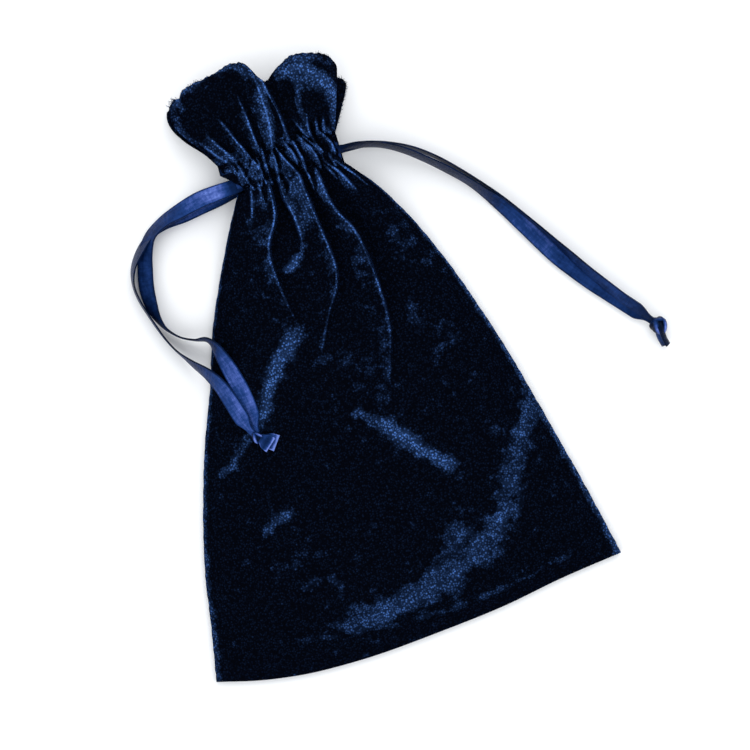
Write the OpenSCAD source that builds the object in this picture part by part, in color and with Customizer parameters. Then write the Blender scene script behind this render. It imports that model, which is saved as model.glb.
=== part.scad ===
// Velvet drawstring pouch, lying on its back with its neck gathered and its ribbons spread.
// +Y runs from the bottom seam to the mouth, +X to the right, +Z up from the table.
// The origin is on the table, at the middle of the pouch without its free ribbons.

/* [Pouch] */
// Width of the bag along its bottom seam
bag_w = 151; // [145:1:157]
// Whole length, from the bottom seam's lowest point to the top of the ruffle
pouch_l = 215; // [211:1:219]
// Thickness of one layer of velvet
cloth = 1.2; // [0.9:0.1:1.3]
// Height of the hollow in the middle of the bag
hollow_h = 10; // [9:0.5:11]

/* [Gathered neck] */
// Width of the gathered neck
neck_w = 39.5; // [38:0.5:41]
// Length of the casing, between the bag and the ruffle
casing_l = 12; // [11:0.5:12]
// Thickness of one gathered casing, with its tunnel
casing_h = 3.8; // [3.6:0.1:4]
// Height of the way in between the two casings
passage_h = 4.8; // [4.6:0.1:5]
// Length of the ruffle above the casing
ruffle_l = 33; // [31:1:34]

/* [Ribbon] */
// Width of the satin ribbon
ribbon_w = 6; // [5:0.5:6]
// Thickness of the ribbon
ribbon_t = 0.4; // [0.3:0.1:0.4]

/* [Stitching] */
// Diameter of the sewing thread
thread_d = 0.4; // [0.3:0.1:0.5]
// Length of one stitch
stitch_l = 2.4; // [2:0.2:2.6]

/* [Hidden] */

velvet = [0.04, 0.07, 0.17];
velvet_light = [0.08, 0.13, 0.30];
satin = [0.13, 0.22, 0.50];
thread_colour = [0.10, 0.14, 0.28];

// lengthways places
bottom_y = -pouch_l / 2;
casing_y1 = pouch_l / 2 - ruffle_l;
casing_y0 = casing_y1 - casing_l;
tunnel_y = (casing_y0 + casing_y1) / 2 - 1.5;
heading_gap = 0.3;
heading_y0 = casing_y1 + heading_gap;

// the neck's two ends, a little to the right of the bag's middle line
neck_shift = 2.25;
neck_x0 = neck_shift - neck_w / 2;
neck_x1 = neck_shift + neck_w / 2;

// heights at the neck
passage_z1 = casing_h + passage_h;
layer_gap = 0.05;

// tunnel for the two ribbons in each casing
run_gap = 0.3;
tunnel_h = 2 * ribbon_t + 3 * run_gap;
tunnel_w = ribbon_w + 1;
casing_round = 0.8;

panel_rows = 26;
panel_columns = 26;
heading_rows = 9;
heading_columns = 30;

// how far the bag reaches to the left and the right of its middle line, as parts of its half
// width, at stations from the bottom (0) to the casing (1)
side_line = [
    [0, 1, 1], [0.12, 0.947, 0.95], [0.25, 0.894, 0.891], [0.37, 0.821, 0.832],
    [0.5, 0.728, 0.768], [0.62, 0.623, 0.695], [0.74, 0.53, 0.609], [0.86, 0.404, 0.497],
    [0.94, 0.311, 0.397]
];
// how far the bottom seam rises above its lowest point, from the left corner (-1) to the right (1)
bottom_line = [
    [-1, 7.5], [-0.8, 3.5], [-0.6, 1], [-0.35, 0], [0.1, 1.5], [0.4, 3.5], [0.7, 7], [1, 9.5]
];
// height of the hollow along the middle, as a part of hollow_h
swell_line = [[0, 0], [0.03, 0.4], [0.1, 0.84], [0.25, 1], [0.7, 1], [0.85, 0.82]];
// how the gathers thicken the cloth towards the neck, from 0 to 1
back_gather_line = [[0, 0], [0.72, 0], [1, 1]];
front_gather_line = [[0, 0], [0.8, 0], [1, 1]];

// the ruffle: how far its sides flare past the neck, and where its top edge lies below the
// pouch's highest point, for the front (with two lobes and a notch between) and for the back
flare_line = [[0, 0.5, 0], [0.25, 7, 2.5], [0.5, 12, 5], [0.75, 15.5, 7], [0.9, 15.5, 6.5], [1, 12.5, 5.5]];
front_top_line = [
    [-1, 9.5], [-0.85, 5], [-0.2, 0], [0, 2.5], [0.12, 9.5], [0.3, 5], [0.5, 3.5], [0.8, 5], [1, 10]
];
back_flare = 2;
back_top_line = [[-1, 8.5], [-0.7, 6.5], [0, 9.5], [0.5, 8.5], [1, 15.5]];
ruffle_wave = 1.5;
ruffle_pitch = 0.7;
ruffle_lift = 2.5;
heading_t0 = 3.4;
heading_t1 = 2.6;

// free ribbons: x, y, z and the roll of the ribbon's width about its own line, in degrees
left_front_route = [
    [-18.7, 65.4, 10.15, 5], [-24, 65.2, 9.6, 5], [-31, 64.8, 8, 5], [-38, 63.4, 6.4, 22],
    [-45.6, 61.4, 5, 44], [-51.4, 58, 4.4, 46], [-54.8, 52.9, 3.8, 30], [-56.8, 47, 3.4, 20],
    [-58.2, 41, 3.2, 22], [-58.4, 35, 3.4, 40], [-57.6, 29.4, 3.6, 65], [-55.6, 24.6, 3.8, 82],
    [-51.8, 20.6, 4.4, 88], [-47, 18, 5.8, 86], [-43, 16.6, 7.6, 75], [-40.7, 13.2, 9.2, 58],
    [-39.2, 8.6, 10.2, 35], [-37.8, 3.2, 10.8, 15], [-36.3, -3.6, 11.4, 5],
    [-35.5, -9.6, 11.8, 8], [-35.2, -15.4, 12.4, 20], [-35.3, -18.8, 13, 25]
];
left_back_route = [
    [-18.7, 65, 1.55, 0], [-24, 64, 2, 5], [-31, 63, 2.4, 12], [-38, 61.6, 2.8, 30],
    [-45.2, 60.5, 3, 50], [-51.4, 58.2, 3, 60], [-56.8, 53.8, 3, 60], [-60.8, 48.6, 3, 70],
    [-62.4, 43, 3, 80], [-62, 37.4, 3, 82], [-60.6, 32, 3, 82], [-58.9, 26.4, 3, 83],
    [-56.8, 20.8, 3.2, 85], [-54, 15.4, 3.8, 84], [-50.2, 10, 5.2, 70], [-46, 4.8, 7.8, 50],
    [-42.9, -0.6, 10, 35], [-40.9, -6.6, 11.4, 25], [-39.3, -12.2, 12.4, 20],
    [-37.6, -17.6, 13.2, 20]
];
left_knot_at = [-35.6, -21.2, 13.4];
left_tail_routes = [
    [[-33.9, -22, 13.5, 5], [-32.3, -23.5, 13.4, 5], [-30.7, -25.2, 13.1, 5]],
    [[-33.7, -21.8, 12.7, 5], [-32, -23.3, 12.6, 5], [-30, -25, 12.3, 5]]
];
right_front_route = [
    [23.2, 67.4, 10.85, 65], [29, 66.8, 9.8, 76], [36, 64.8, 8.2, 78], [43, 60.9, 6.6, 76],
    [49.5, 55.8, 5.2, 74], [56, 50, 4.2, 70], [62, 43.8, 3.6, 70], [67.2, 37.3, 3.2, 60],
    [72.2, 30.4, 2.6, 36], [76.6, 23.2, 2, 12], [80.6, 16, 1.4, 0], [84.4, 9.4, 1.4, 0],
    [88.6, 3.4, 1.4, 0], [93.6, -3.2, 1.6, 5], [99, -9.6, 1.8, 10], [104.2, -15.8, 2.2, 15],
    [108.6, -21.2, 2.8, 20]
];
right_back_route = [
    [23.2, 67.8, 2.25, 40], [30, 67.2, 3, 76], [38, 65, 3.2, 84], [46, 61.1, 3.2, 85],
    [53.5, 55.4, 3.2, 85], [60.4, 48.4, 3.2, 85], [66.6, 41.2, 3.2, 85], [72.2, 34, 3.2, 85],
    [77.5, 26.4, 3.2, 85], [81.8, 20, 3.2, 84], [85.2, 14.4, 3.2, 78], [88.6, 8.4, 3.2, 66],
    [92.7, 1.5, 3.2, 58], [97.1, -5.1, 3.4, 54], [101.7, -11.8, 3.4, 50], [106.4, -17.9, 3.4, 46],
    [109.7, -22, 3.4, 45]
];
right_knot_at = [111.6, -24.8, 3.2];
right_tail_routes = [
    [[110.4, -27.6, 2.8, 50], [110.8, -30, 2.4, 50], [111.4, -32.4, 2.2, 50]],
    [[112.8, -26.8, 3.2, -80], [113.2, -29.4, 3, -85], [113.6, -31.8, 2.8, -85]]
];

function mix(a, b, t) = a + (b - a) * t;
function column(line, k) = [for (row = line) [row[0], row[k]]];

// a place on the bag: s from the bottom seam (0) to the casing (1), u from left (-1) to right (1)
half_w = bag_w / 2;
left_line = concat(column(side_line, 1), [[1, -neck_x0 / half_w]]);
right_line = concat(column(side_line, 2), [[1, neck_x1 / half_w]]);
function bag_x(s, u) = half_w * mix(-lookup(s, left_line), lookup(s, right_line), (u + 1) / 2);
function bag_y(s, u) = mix(bottom_y + lookup(u, bottom_line), casing_y0, s);
function back_top(s) = mix(cloth, casing_h, lookup(s, back_gather_line));
function roundness(u) = pow(max(0, 1 - pow(u, 4)), 0.75);
swell = concat(swell_line, [[1, passage_h / hollow_h]]);
function hollow(s, u) = hollow_h * lookup(s, swell) * roundness(u);
function front_under(s, u) = back_top(s) + layer_gap + hollow(s, u);
function front_over(s, u) = front_under(s, u) + mix(cloth, casing_h, lookup(s, front_gather_line));
function allowance_over(s, u) = back_top(s) + min(0.8 * hollow(s, u), 1.2 * cloth);

// closed solid between two grids of points with the same rows and columns
module sheet(under, over) {
    rows = len(under);
    columns = len(under[0]);
    n = rows * columns;
    function at(r, c) = r * columns + c;
    points = [for (grid = [under, over]) for (row = grid) for (p = row) p];
    skins = [
        for (r = [0 : rows - 2]) for (c = [0 : columns - 2])
            for (side = [0, 1])
                let (q = [at(r, c), at(r, c + 1), at(r + 1, c + 1), at(r + 1, c)])
                for (t = [[q[0], q[1], q[2]], [q[0], q[2], q[3]]])
                    side == 0 ? t : [t[2] + n, t[1] + n, t[0] + n]
    ];
    rim = concat(
        [for (c = [0 : columns - 1]) at(0, c)],
        [for (r = [1 : rows - 1]) at(r, columns - 1)],
        [for (c = [columns - 2 : -1 : 0]) at(rows - 1, c)],
        [for (r = [rows - 2 : -1 : 1]) at(r, 0)]
    );
    walls = [
        for (k = [0 : len(rim) - 1])
            let (a = rim[k], b = rim[(k + 1) % len(rim)])
            for (t = [[b, a, a + n], [b, a + n, b + n]]) t
    ];
    polyhedron(points, concat(skins, walls), convexity = 6);
}

// columns closer together near the sides, where the bag curves over
function across(c, columns) = sin(90 * mix(-1, 1, c / (columns - 1)));

module bag_sheet(under, over) {
    sheet(
        [for (r = [0 : panel_rows - 1]) let (s = r / (panel_rows - 1))
            [for (c = [0 : panel_columns - 1]) let (u = across(c, panel_columns))
                [bag_x(s, u), bag_y(s, u), under(s, u)]]],
        [for (r = [0 : panel_rows - 1]) let (s = r / (panel_rows - 1))
            [for (c = [0 : panel_columns - 1]) let (u = across(c, panel_columns))
                [bag_x(s, u), bag_y(s, u), over(s, u)]]]
    );
}

module front_panel() {
    color(velvet)
        bag_sheet(function (s, u) front_under(s, u), function (s, u) front_over(s, u));
}

module back_panel() {
    color(velvet)
        bag_sheet(function (s, u) 0, function (s, u) back_top(s));
}

// turned-in edges of the two panels, sewn together, inside the bag
side_allowance = [0.9, 0.985];
side_allowance_s = [0.04, 0.95];
bottom_allowance_s = [0.008, 0.035];
bottom_allowance_u = 0.88;

module allowance_sheet(s_range, u_range, rows, columns) {
    function grid(over) = [
        for (r = [0 : rows - 1]) let (s = mix(s_range[0], s_range[1], r / (rows - 1)))
            [for (c = [0 : columns - 1]) let (u = mix(u_range[0], u_range[1], c / (columns - 1)))
                [bag_x(s, u), bag_y(s, u), over ? allowance_over(s, u) : back_top(s)]]
    ];
    color(velvet_light)
        sheet(grid(false), grid(true));
}

module left_seam_allowance() {
    allowance_sheet(side_allowance_s, [-side_allowance[1], -side_allowance[0]], 20, 3);
}

module right_seam_allowance() {
    allowance_sheet(side_allowance_s, side_allowance, 20, 3);
}

module bottom_seam_allowance() {
    allowance_sheet(bottom_allowance_s, [-bottom_allowance_u, bottom_allowance_u], 3, 24);
}

// one stitch lying on a surface, from a towards b
module stitch(a, b) {
    run = b - a;
    length = norm(run);
    turn = atan2(run[1], run[0]);
    climb = atan2(run[2], norm([run[0], run[1]]));
    translate(a + run * (1 - stitch_l / length) / 2 + [0, 0, thread_d / 2 + layer_gap])
        rotate([0, 90 - climb, turn])
            cylinder(h = stitch_l, d = thread_d, $fn = 8);
}

// rows of stitches along the inside seams, on top of the turned-in edges
stitch_pitch = 8;
seam_u = 0.935;
seam_s = 0.026;

module side_thread(side) {
    count = floor((side_allowance_s[1] - side_allowance_s[0]) * (pouch_l - 50) / stitch_pitch);
    color(thread_colour)
        for (k = [1 : count - 1]) {
            s = mix(side_allowance_s[0], side_allowance_s[1], k / count);
            step = stitch_l / 2 / (pouch_l - 50);
            u = side * seam_u;
            stitch(
                [bag_x(s - step, u), bag_y(s - step, u), allowance_over(s - step, u)],
                [bag_x(s + step, u), bag_y(s + step, u), allowance_over(s + step, u)]
            );
        }
}

module left_seam_thread() {
    side_thread(-1);
}

module right_seam_thread() {
    side_thread(1);
}

module bottom_seam_thread() {
    count = floor(bag_w * bottom_allowance_u / stitch_pitch);
    color(thread_colour)
        for (k = [1 : count - 1]) {
            u = mix(-bottom_allowance_u, bottom_allowance_u, k / count);
            step = stitch_l / bag_w;
            stitch(
                [bag_x(seam_s, u - step), bag_y(seam_s, u - step), allowance_over(seam_s, u - step)],
                [bag_x(seam_s, u + step), bag_y(seam_s, u + step), allowance_over(seam_s, u + step)]
            );
        }
}

module rounded(w, h, r) {
    translate([-w / 2 + r, -h / 2]) square([w - 2 * r, h]);
    translate([-w / 2, -h / 2 + r]) square([w, h - 2 * r]);
    for (x = [-1, 1]) for (y = [-1, 1])
        translate([x * (w / 2 - r), y * (h / 2 - r)]) circle(r = r, $fn = 24);
}

// a flat tube of gathered velvet across the neck, with a tunnel for the ribbons
module casing(z0) {
    color(velvet_light)
        translate([neck_x0, (casing_y0 + casing_y1) / 2, z0 + casing_h / 2])
            rotate([90, 0, 90])
                linear_extrude(neck_w)
                    difference() {
                        rounded(casing_l, casing_h, casing_round);
                        translate([tunnel_y - (casing_y0 + casing_y1) / 2, 0])
                            rounded(tunnel_w, tunnel_h, tunnel_h / 2 - 0.01);
                    }
}

module front_casing() {
    casing(passage_z1);
}

module back_casing() {
    casing(0);
}

// two rows of stitches that close the casing, on its face towards z_face
row_inset = 1.6;

module casing_thread(z_face) {
    count = floor(neck_w / (stitch_l + 1));
    color(thread_colour)
        for (y = [casing_y0 + row_inset, casing_y1 - row_inset])
            for (k = [0 : count - 1]) {
                x = mix(neck_x0, neck_x1, (k + 0.5) / count);
                stitch([x - stitch_l / 2, y, z_face], [x + stitch_l / 2, y, z_face]);
            }
}

module front_casing_thread() {
    casing_thread(passage_z1 + casing_h);
}

module back_casing_thread() {
    casing_thread(casing_h);
}

// the ruffle: u from left (-1) to right (1), v from the casing (0) to the top edge (1)
function heading_x(v, u, extra) = mix(
    neck_x0 - lookup(v, column(flare_line, 1)) - extra * v,
    neck_x1 + lookup(v, column(flare_line, 2)) + extra * v,
    (u + 1) / 2
);
function heading_y(v, u, top) = mix(heading_y0, pouch_l / 2 - lookup(u, top), v);
function wave(u) = cos(360 * (u + 0.1) / ruffle_pitch);
function heading_t(v) = mix(heading_t0, heading_t1, v);

module heading_sheet(top, extra, under, over) {
    function grid(height) = [
        for (r = [0 : heading_rows - 1]) let (v = r / (heading_rows - 1))
            [for (c = [0 : heading_columns - 1]) let (u = mix(-1, 1, c / (heading_columns - 1)))
                [heading_x(v, u, extra), heading_y(v, u, top), height(v, u)]]
    ];
    color(velvet)
        sheet(grid(under), grid(over));
}

module front_heading() {
    base = passage_z1 + heading_gap;
    function under(v, u) = base + v * (ruffle_lift + ruffle_wave * wave(u));
    heading_sheet(
        front_top_line, 0,
        function (v, u) under(v, u),
        function (v, u) under(v, u) + heading_t(v)
    );
}

module back_heading() {
    heading_sheet(
        back_top_line, back_flare,
        function (v, u) 0,
        function (v, u) heading_t(v) + 0.3 * v * wave(u)
    );
}

// smooth curve through the points of a route, with a few rings between each two of them
ring_steps = 4;
function curve_point(a, b, c, d, t) =
    b + 0.5 * t * (c - a + t * (2 * a - 5 * b + 4 * c - d + t * (3 * b - a - 3 * c + d)));
function smooth(route) = let (last = len(route) - 1) concat(
    [
        for (k = [0 : last - 1]) for (j = [0 : ring_steps - 1])
            curve_point(
                route[max(k - 1, 0)], route[k], route[k + 1], route[min(k + 2, last)],
                j / ring_steps
            )
    ],
    [route[last]]
);

// flat ribbon swept along a route of [x, y, z, roll] points
function unit(v) = v / norm(v);
function place(route, k) = [route[k][0], route[k][1], route[k][2]];
function along(route, k) = unit(
    place(route, min(k + 1, len(route) - 1)) - place(route, max(k - 1, 0))
);
ribbon_corner = 0.3;
function ribbon_section(w, t) = [
    [w / 2 - ribbon_corner, t / 2], [-w / 2 + ribbon_corner, t / 2],
    [-w / 2, t / 4], [-w / 2, -t / 4],
    [-w / 2 + ribbon_corner, -t / 2], [w / 2 - ribbon_corner, -t / 2],
    [w / 2, -t / 4], [w / 2, t / 4]
];

module ribbon(points_on_route, w, t) {
    route = smooth(points_on_route);
    section = ribbon_section(w, t);
    sides = len(section);
    rings = len(route);
    points = [
        for (k = [0 : rings - 1])
            let (
                ahead = along(route, k),
                flat = unit(cross([0, 0, 1], ahead)),
                up = cross(ahead, flat),
                roll = route[k][3],
                wide = flat * cos(roll) + up * sin(roll),
                thick = up * cos(roll) - flat * sin(roll)
            )
            for (p = section) place(route, k) + wide * p[0] + thick * p[1]
    ];
    walls = [
        for (k = [0 : rings - 2]) for (j = [0 : sides - 1])
            let (
                a = k * sides + j,
                b = k * sides + (j + 1) % sides
            )
            for (f = [[a, b, b + sides], [a, b + sides, a + sides]]) f
    ];
    first = [for (j = [sides - 1 : -1 : 0]) j];
    last = [for (j = [0 : sides - 1]) (rings - 1) * sides + j];
    color(satin)
        polyhedron(points, concat(walls, [first, last]), convexity = 8);
}

// the ribbon's straight run through a casing: it ends inside at the far end and sticks out at its
// own end (side -1 or 1); slot 0 lies under slot 1
run_out = 1.2;

module run(z0, slot, side) {
    z = z0 + (casing_h - tunnel_h) / 2 + run_gap + slot * (ribbon_t + run_gap);
    start = side < 0 ? neck_x0 - run_out : neck_x0 + layer_gap;
    color(satin)
        translate([start, tunnel_y - ribbon_w / 2, z])
            cube([neck_w + run_out - layer_gap, ribbon_w, ribbon_t]);
}

module left_front_run() {
    run(passage_z1, 0, -1);
}

module left_back_run() {
    run(0, 0, -1);
}

module right_front_run() {
    run(passage_z1, 1, 1);
}

module right_back_run() {
    run(0, 1, 1);
}

module left_front_strand() {
    ribbon(left_front_route, ribbon_w, ribbon_t);
}

module left_back_strand() {
    ribbon(left_back_route, ribbon_w, ribbon_t);
}

module right_front_strand() {
    ribbon(right_front_route, ribbon_w, ribbon_t);
}

module right_back_strand() {
    ribbon(right_back_route, ribbon_w, ribbon_t);
}

// overhand knot that ties the two strands of one side together
knot_r = 2;
knot_reach = 1;

module knot(centre) {
    color(satin)
        translate(centre)
            hull()
                for (x = [-1, 1]) for (y = [-1, 1])
                    translate([x * knot_reach, y * knot_reach, 0]) sphere(r = knot_r, $fn = 16);
}

module left_knot() {
    knot(left_knot_at);
}

module right_knot() {
    knot(right_knot_at);
}

tail_w = 5;

module tails(routes) {
    for (route = routes)
        ribbon(route, tail_w, ribbon_t);
}

module left_ribbon_tails() {
    tails(left_tail_routes);
}

module right_ribbon_tails() {
    tails(right_tail_routes);
}

front_panel();
back_panel();
left_seam_allowance();
right_seam_allowance();
bottom_seam_allowance();
left_seam_thread();
right_seam_thread();
bottom_seam_thread();
front_casing();
back_casing();
front_casing_thread();
back_casing_thread();
front_heading();
back_heading();
left_front_run();
left_back_run();
left_front_strand();
left_back_strand();
left_knot();
left_ribbon_tails();
right_front_run();
right_back_run();
right_front_strand();
right_back_strand();
right_knot();
right_ribbon_tails();
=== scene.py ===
"""Velvet drawstring pouch lying on its back, with a gathered neck, a ruffled mouth and two satin
ribbons.

Shapes are worked out in millimetres in the part's own frame (+Y towards the mouth, +Z up from the
table) and become metres when a mesh is made.
"""

import math

import bpy
import numpy as np
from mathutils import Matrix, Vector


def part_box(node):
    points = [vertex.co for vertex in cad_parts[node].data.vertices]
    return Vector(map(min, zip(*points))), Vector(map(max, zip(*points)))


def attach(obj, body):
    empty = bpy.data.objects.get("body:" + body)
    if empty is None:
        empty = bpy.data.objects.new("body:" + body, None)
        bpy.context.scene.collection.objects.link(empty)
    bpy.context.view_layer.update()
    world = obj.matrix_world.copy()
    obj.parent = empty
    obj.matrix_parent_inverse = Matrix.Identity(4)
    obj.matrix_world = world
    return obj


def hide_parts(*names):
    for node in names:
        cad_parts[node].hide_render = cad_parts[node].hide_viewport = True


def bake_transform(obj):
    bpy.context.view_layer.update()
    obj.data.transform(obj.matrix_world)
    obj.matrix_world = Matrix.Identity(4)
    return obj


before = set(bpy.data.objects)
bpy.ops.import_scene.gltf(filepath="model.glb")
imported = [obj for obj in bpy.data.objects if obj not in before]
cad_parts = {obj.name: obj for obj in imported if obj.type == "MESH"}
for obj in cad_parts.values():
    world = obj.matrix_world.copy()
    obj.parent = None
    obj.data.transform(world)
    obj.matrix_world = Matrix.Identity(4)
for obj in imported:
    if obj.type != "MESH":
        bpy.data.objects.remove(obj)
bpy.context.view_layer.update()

MM = 0.001


# ---------------------------------------------------------------- places read from the frame


def corners(node):
    """Lowest and highest corner of a CAD node, in millimetres."""
    low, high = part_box(node)
    return np.array(low) / MM, np.array(high) / MM


def middle_y(node):
    """Middle of a CAD node along the bag's length."""
    low, high = corners(node)
    return (low[1] + high[1]) / 2


back_low, back_high = corners("back_panel")
casing_low, casing_high = corners("front_casing")
under_high = corners("back_casing")[1]
heading_low, heading_high = corners("front_heading")

BOTTOM_Y = back_low[1]
CASING_Y0, CASING_Y1 = casing_low[1], casing_high[1]
HEADING_Y0 = heading_low[1]
TOP_Y = heading_high[1]
NECK_X0, NECK_X1 = casing_low[0], casing_high[0]
NECK_X = (NECK_X0 + NECK_X1) / 2
NECK_HALF = (NECK_X1 - NECK_X0) / 2
CASING_TOP = casing_high[2]
CASING_UNDER = casing_low[2]
BACK_CASING_TOP = under_high[2]
HALF_W = (back_high[0] - back_low[0]) / 2
CLOTH = 1.2


# ---------------------------------------------------------------- numbers


def step(a, b, x):
    """0 before a, 1 after b, smooth between."""
    t = np.clip((x - a) / (b - a), 0, 1)
    return t * t * (3 - 2 * t)


def read(table, x):
    """Smooth curve through (place, value) rows, read at x."""
    place, value = np.array(table, float).T
    slope = np.gradient(value, place)
    x = np.clip(x, place[0], place[-1])
    k = np.clip(np.searchsorted(place, x) - 1, 0, len(place) - 2)
    span = place[k + 1] - place[k]
    t = (x - place[k]) / span
    return (
        value[k] * (1 + 2 * t) * (1 - t) ** 2
        + value[k + 1] * t * t * (3 - 2 * t)
        + span * t * (1 - t) * (slope[k] * (1 - t) - slope[k + 1] * t)
    )


def noise(x, y, size, seed):
    """Smooth random heights, about -1 to 1, with lumps about size across."""
    lattice = np.random.default_rng(seed).uniform(-1, 1, (64, 64))
    gx, gy = x / size + 17.3, y / size + 31.7
    ix, iy = np.floor(gx).astype(int), np.floor(gy).astype(int)
    fx, fy = gx - ix, gy - iy
    fx, fy = fx * fx * (3 - 2 * fx), fy * fy * (3 - 2 * fy)
    a = lattice[ix % 64, iy % 64]
    b = lattice[(ix + 1) % 64, iy % 64]
    c = lattice[ix % 64, (iy + 1) % 64]
    d = lattice[(ix + 1) % 64, (iy + 1) % 64]
    return (a * (1 - fx) + b * fx) * (1 - fy) + (c * (1 - fx) + d * fx) * fy


def smooth_route(points, spacing):
    """Points about spacing apart on a smooth curve through the given ones, of any dimension."""
    points = np.array(points, float)
    end = len(points) - 1
    rows = []
    for k in range(end):
        a, b, c, d = points[max(k - 1, 0)], points[k], points[k + 1], points[min(k + 2, end)]
        count = max(1, int(round(np.linalg.norm((c - b)[:3]) / spacing)))
        for j in range(count):
            t = j / count
            bend = 2 * a - 5 * b + 4 * c - d + t * (3 * b - a - 3 * c + d)
            rows.append(b + 0.5 * t * (c - a + t * bend))
    rows.append(points[-1])
    return np.array(rows)


def beside(x, y, line):
    """Distance of each place from a line, positive towards +X for a line listed from its top down,
    and how far along the line its nearest point is, from 0 to 1."""
    points = smooth_route([(a, b, 0) for a, b in line], 2.5)[:, :2]
    best = np.full(np.shape(x), 1e9)
    signed = np.zeros(np.shape(x))
    along = np.zeros(np.shape(x))
    for k in range(len(points) - 1):
        (ax, ay), (sx, sy) = points[k], points[k + 1] - points[k]
        t = np.clip(((x - ax) * sx + (y - ay) * sy) / (sx * sx + sy * sy), 0, 1)
        dx, dy = x - ax - t * sx, y - ay - t * sy
        distance = dx * dx + dy * dy
        nearer = distance < best
        best = np.where(nearer, distance, best)
        side = np.where(sx * dy - sy * dx >= 0, 1.0, -1.0)
        signed = np.where(nearer, side * np.sqrt(distance), signed)
        along = np.where(nearer, (k + t) / (len(points) - 1), along)
    return signed, along


def fold(x, y, line, rise, soft, drop=0.8, dip=0.0, dip_w=3.0, side=1):
    """A fold: it climbs gently over soft mm, drops steeply over drop mm on the side given (1 is
    towards +X), and leaves a hollow dip deep and dip_w wide beyond. rise gives its height along
    the line. Also returns its painted light: a painted highlight along the edge, a paler painted
    slope on the gentle side, and painted shade in the hollow."""
    d, along = beside(x, y, line)
    d = d * side
    height = np.interp(along, np.linspace(0, 1, len(rise)), rise)
    share = height / max(max(rise), 1e-6)
    gentle = np.exp(-((np.minimum(d, 0) / soft) ** 2))
    steep = step(0, drop, d)
    hollow = steep * np.exp(-((np.maximum(d - drop, 0) / dip_w) ** 2))
    uneven_highlight, blotch = noise(x, y, 7, 11), noise(x, y, 3, 12)
    # painted highlight along the fold's edge, painted light on its gentle slope, painted shade in
    # the hollow
    edge = np.exp(-(((d + 0.2) / (0.4 + 0.12 * blotch)) ** 2)) * (1.3 + 0.5 * uneven_highlight)
    slope = 0.36 * gentle * (1 - steep) * (1 + 0.7 * blotch)
    light = share * np.maximum(edge, slope) - 0.8 * share * hollow
    return height * gentle * (1 - steep) - dip * share * hollow, light


def sum_folds(x, y, folds, gain=1.0):
    """Height and light of a list of folds together."""
    z, light = np.zeros(np.shape(x)), np.zeros(np.shape(x))
    for line, rise, soft, drop, dip, dip_w, side in folds:
        gained = [gain * r for r in rise]
        height, shine = fold(x, y, line, gained, soft, drop, gain * dip, dip_w, side)
        z += height
        light = np.where(np.abs(shine) > np.abs(light), shine, light)
    return z, light


def bump(x, y, cx, cy, rx, ry, turn=0.0):
    """A round swelling of height 1 at (cx, cy), rx by ry, turned by turn degrees."""
    c, s = math.cos(math.radians(turn)), math.sin(math.radians(turn))
    a = ((x - cx) * c + (y - cy) * s) / rx
    b = ((y - cy) * c - (x - cx) * s) / ry
    return np.exp(-(a * a + b * b))


def sheen_strokes(x, y, rows):
    """Painted sheen where the pile is brushed over, and painted highlights: 0 to 1, from (line,
    half width, strength) rows. The edges are ragged."""
    ragged_x = noise(x, y, 4.2, 5) + 0.5 * noise(x, y, 1.3, 6)
    ragged_y = noise(x, y, 4.2, 7) + 0.5 * noise(x, y, 1.3, 8)
    total = np.zeros(np.shape(x))
    for line, width, strength in rows:
        stray = 0.4 * min(width, 4)
        d, along = beside(x + stray * ragged_x, y + stray * ragged_y, line)
        ends = step(0, 0.2, along) * (1 - step(0.8, 1, along)) if len(line) > 2 else 1
        total = np.maximum(total, strength * np.exp(-((d / width) ** 2)) * (0.3 + 0.7 * ends))
    return total * (1 + 0.25 * noise(x, y, 3, 9))


CASING_MIDDLE = 69


def small_gathers(x, y):
    """The many thin, uneven gathers round the neck, fading out above and below the casing, with a
    painted highlight along each ridge.
    """
    lean = x + 0.16 * (y - CASING_MIDDLE) * np.sin(x / 4)
    z, light = np.zeros(np.shape(x)), np.zeros(np.shape(x))
    for size, reach, seed, height in ((1.9, 8, 35, 0.45), (1.1, 5, 37, 0.25)):
        wave = noise(lean * 3 / size, y * 3 / reach, 3, seed)
        ridge = np.exp(-((wave / 0.17) ** 2)) * (0.45 + 0.55 * noise(x, y, 3, seed + 1))
        z += height * ridge
        light = np.maximum(light, 1.2 * ridge)
    near = np.exp(-(((y - CASING_MIDDLE) / 5.5) ** 2))
    return near * z, near * light


# ---------------------------------------------------------------- meshes


def add_object(name, data):
    """A new object, in the scene."""
    made = bpy.data.objects.new(name, data)
    bpy.context.scene.collection.objects.link(made)
    return made


def make_mesh(name, points, faces):
    """A smooth mesh object from points in millimetres."""
    mesh = bpy.data.meshes.new(name)
    mesh.from_pydata([tuple(p) for p in np.asarray(points, float) * MM], [], faces)
    mesh.validate()
    mesh.polygons.foreach_set("use_smooth", [True] * len(mesh.polygons))
    return add_object(name, mesh)


def store(piece, name, values):
    """Keeps one number a vertex on the mesh, for the material to read."""
    values = np.asarray(values, np.float32).ravel()
    attribute = piece.data.attributes.new(name, "FLOAT", "POINT")
    attribute.data.foreach_set("value", values)


# the lower face of a sheet has one face for this many rows and columns of the upper one
COARSE = 4


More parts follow.
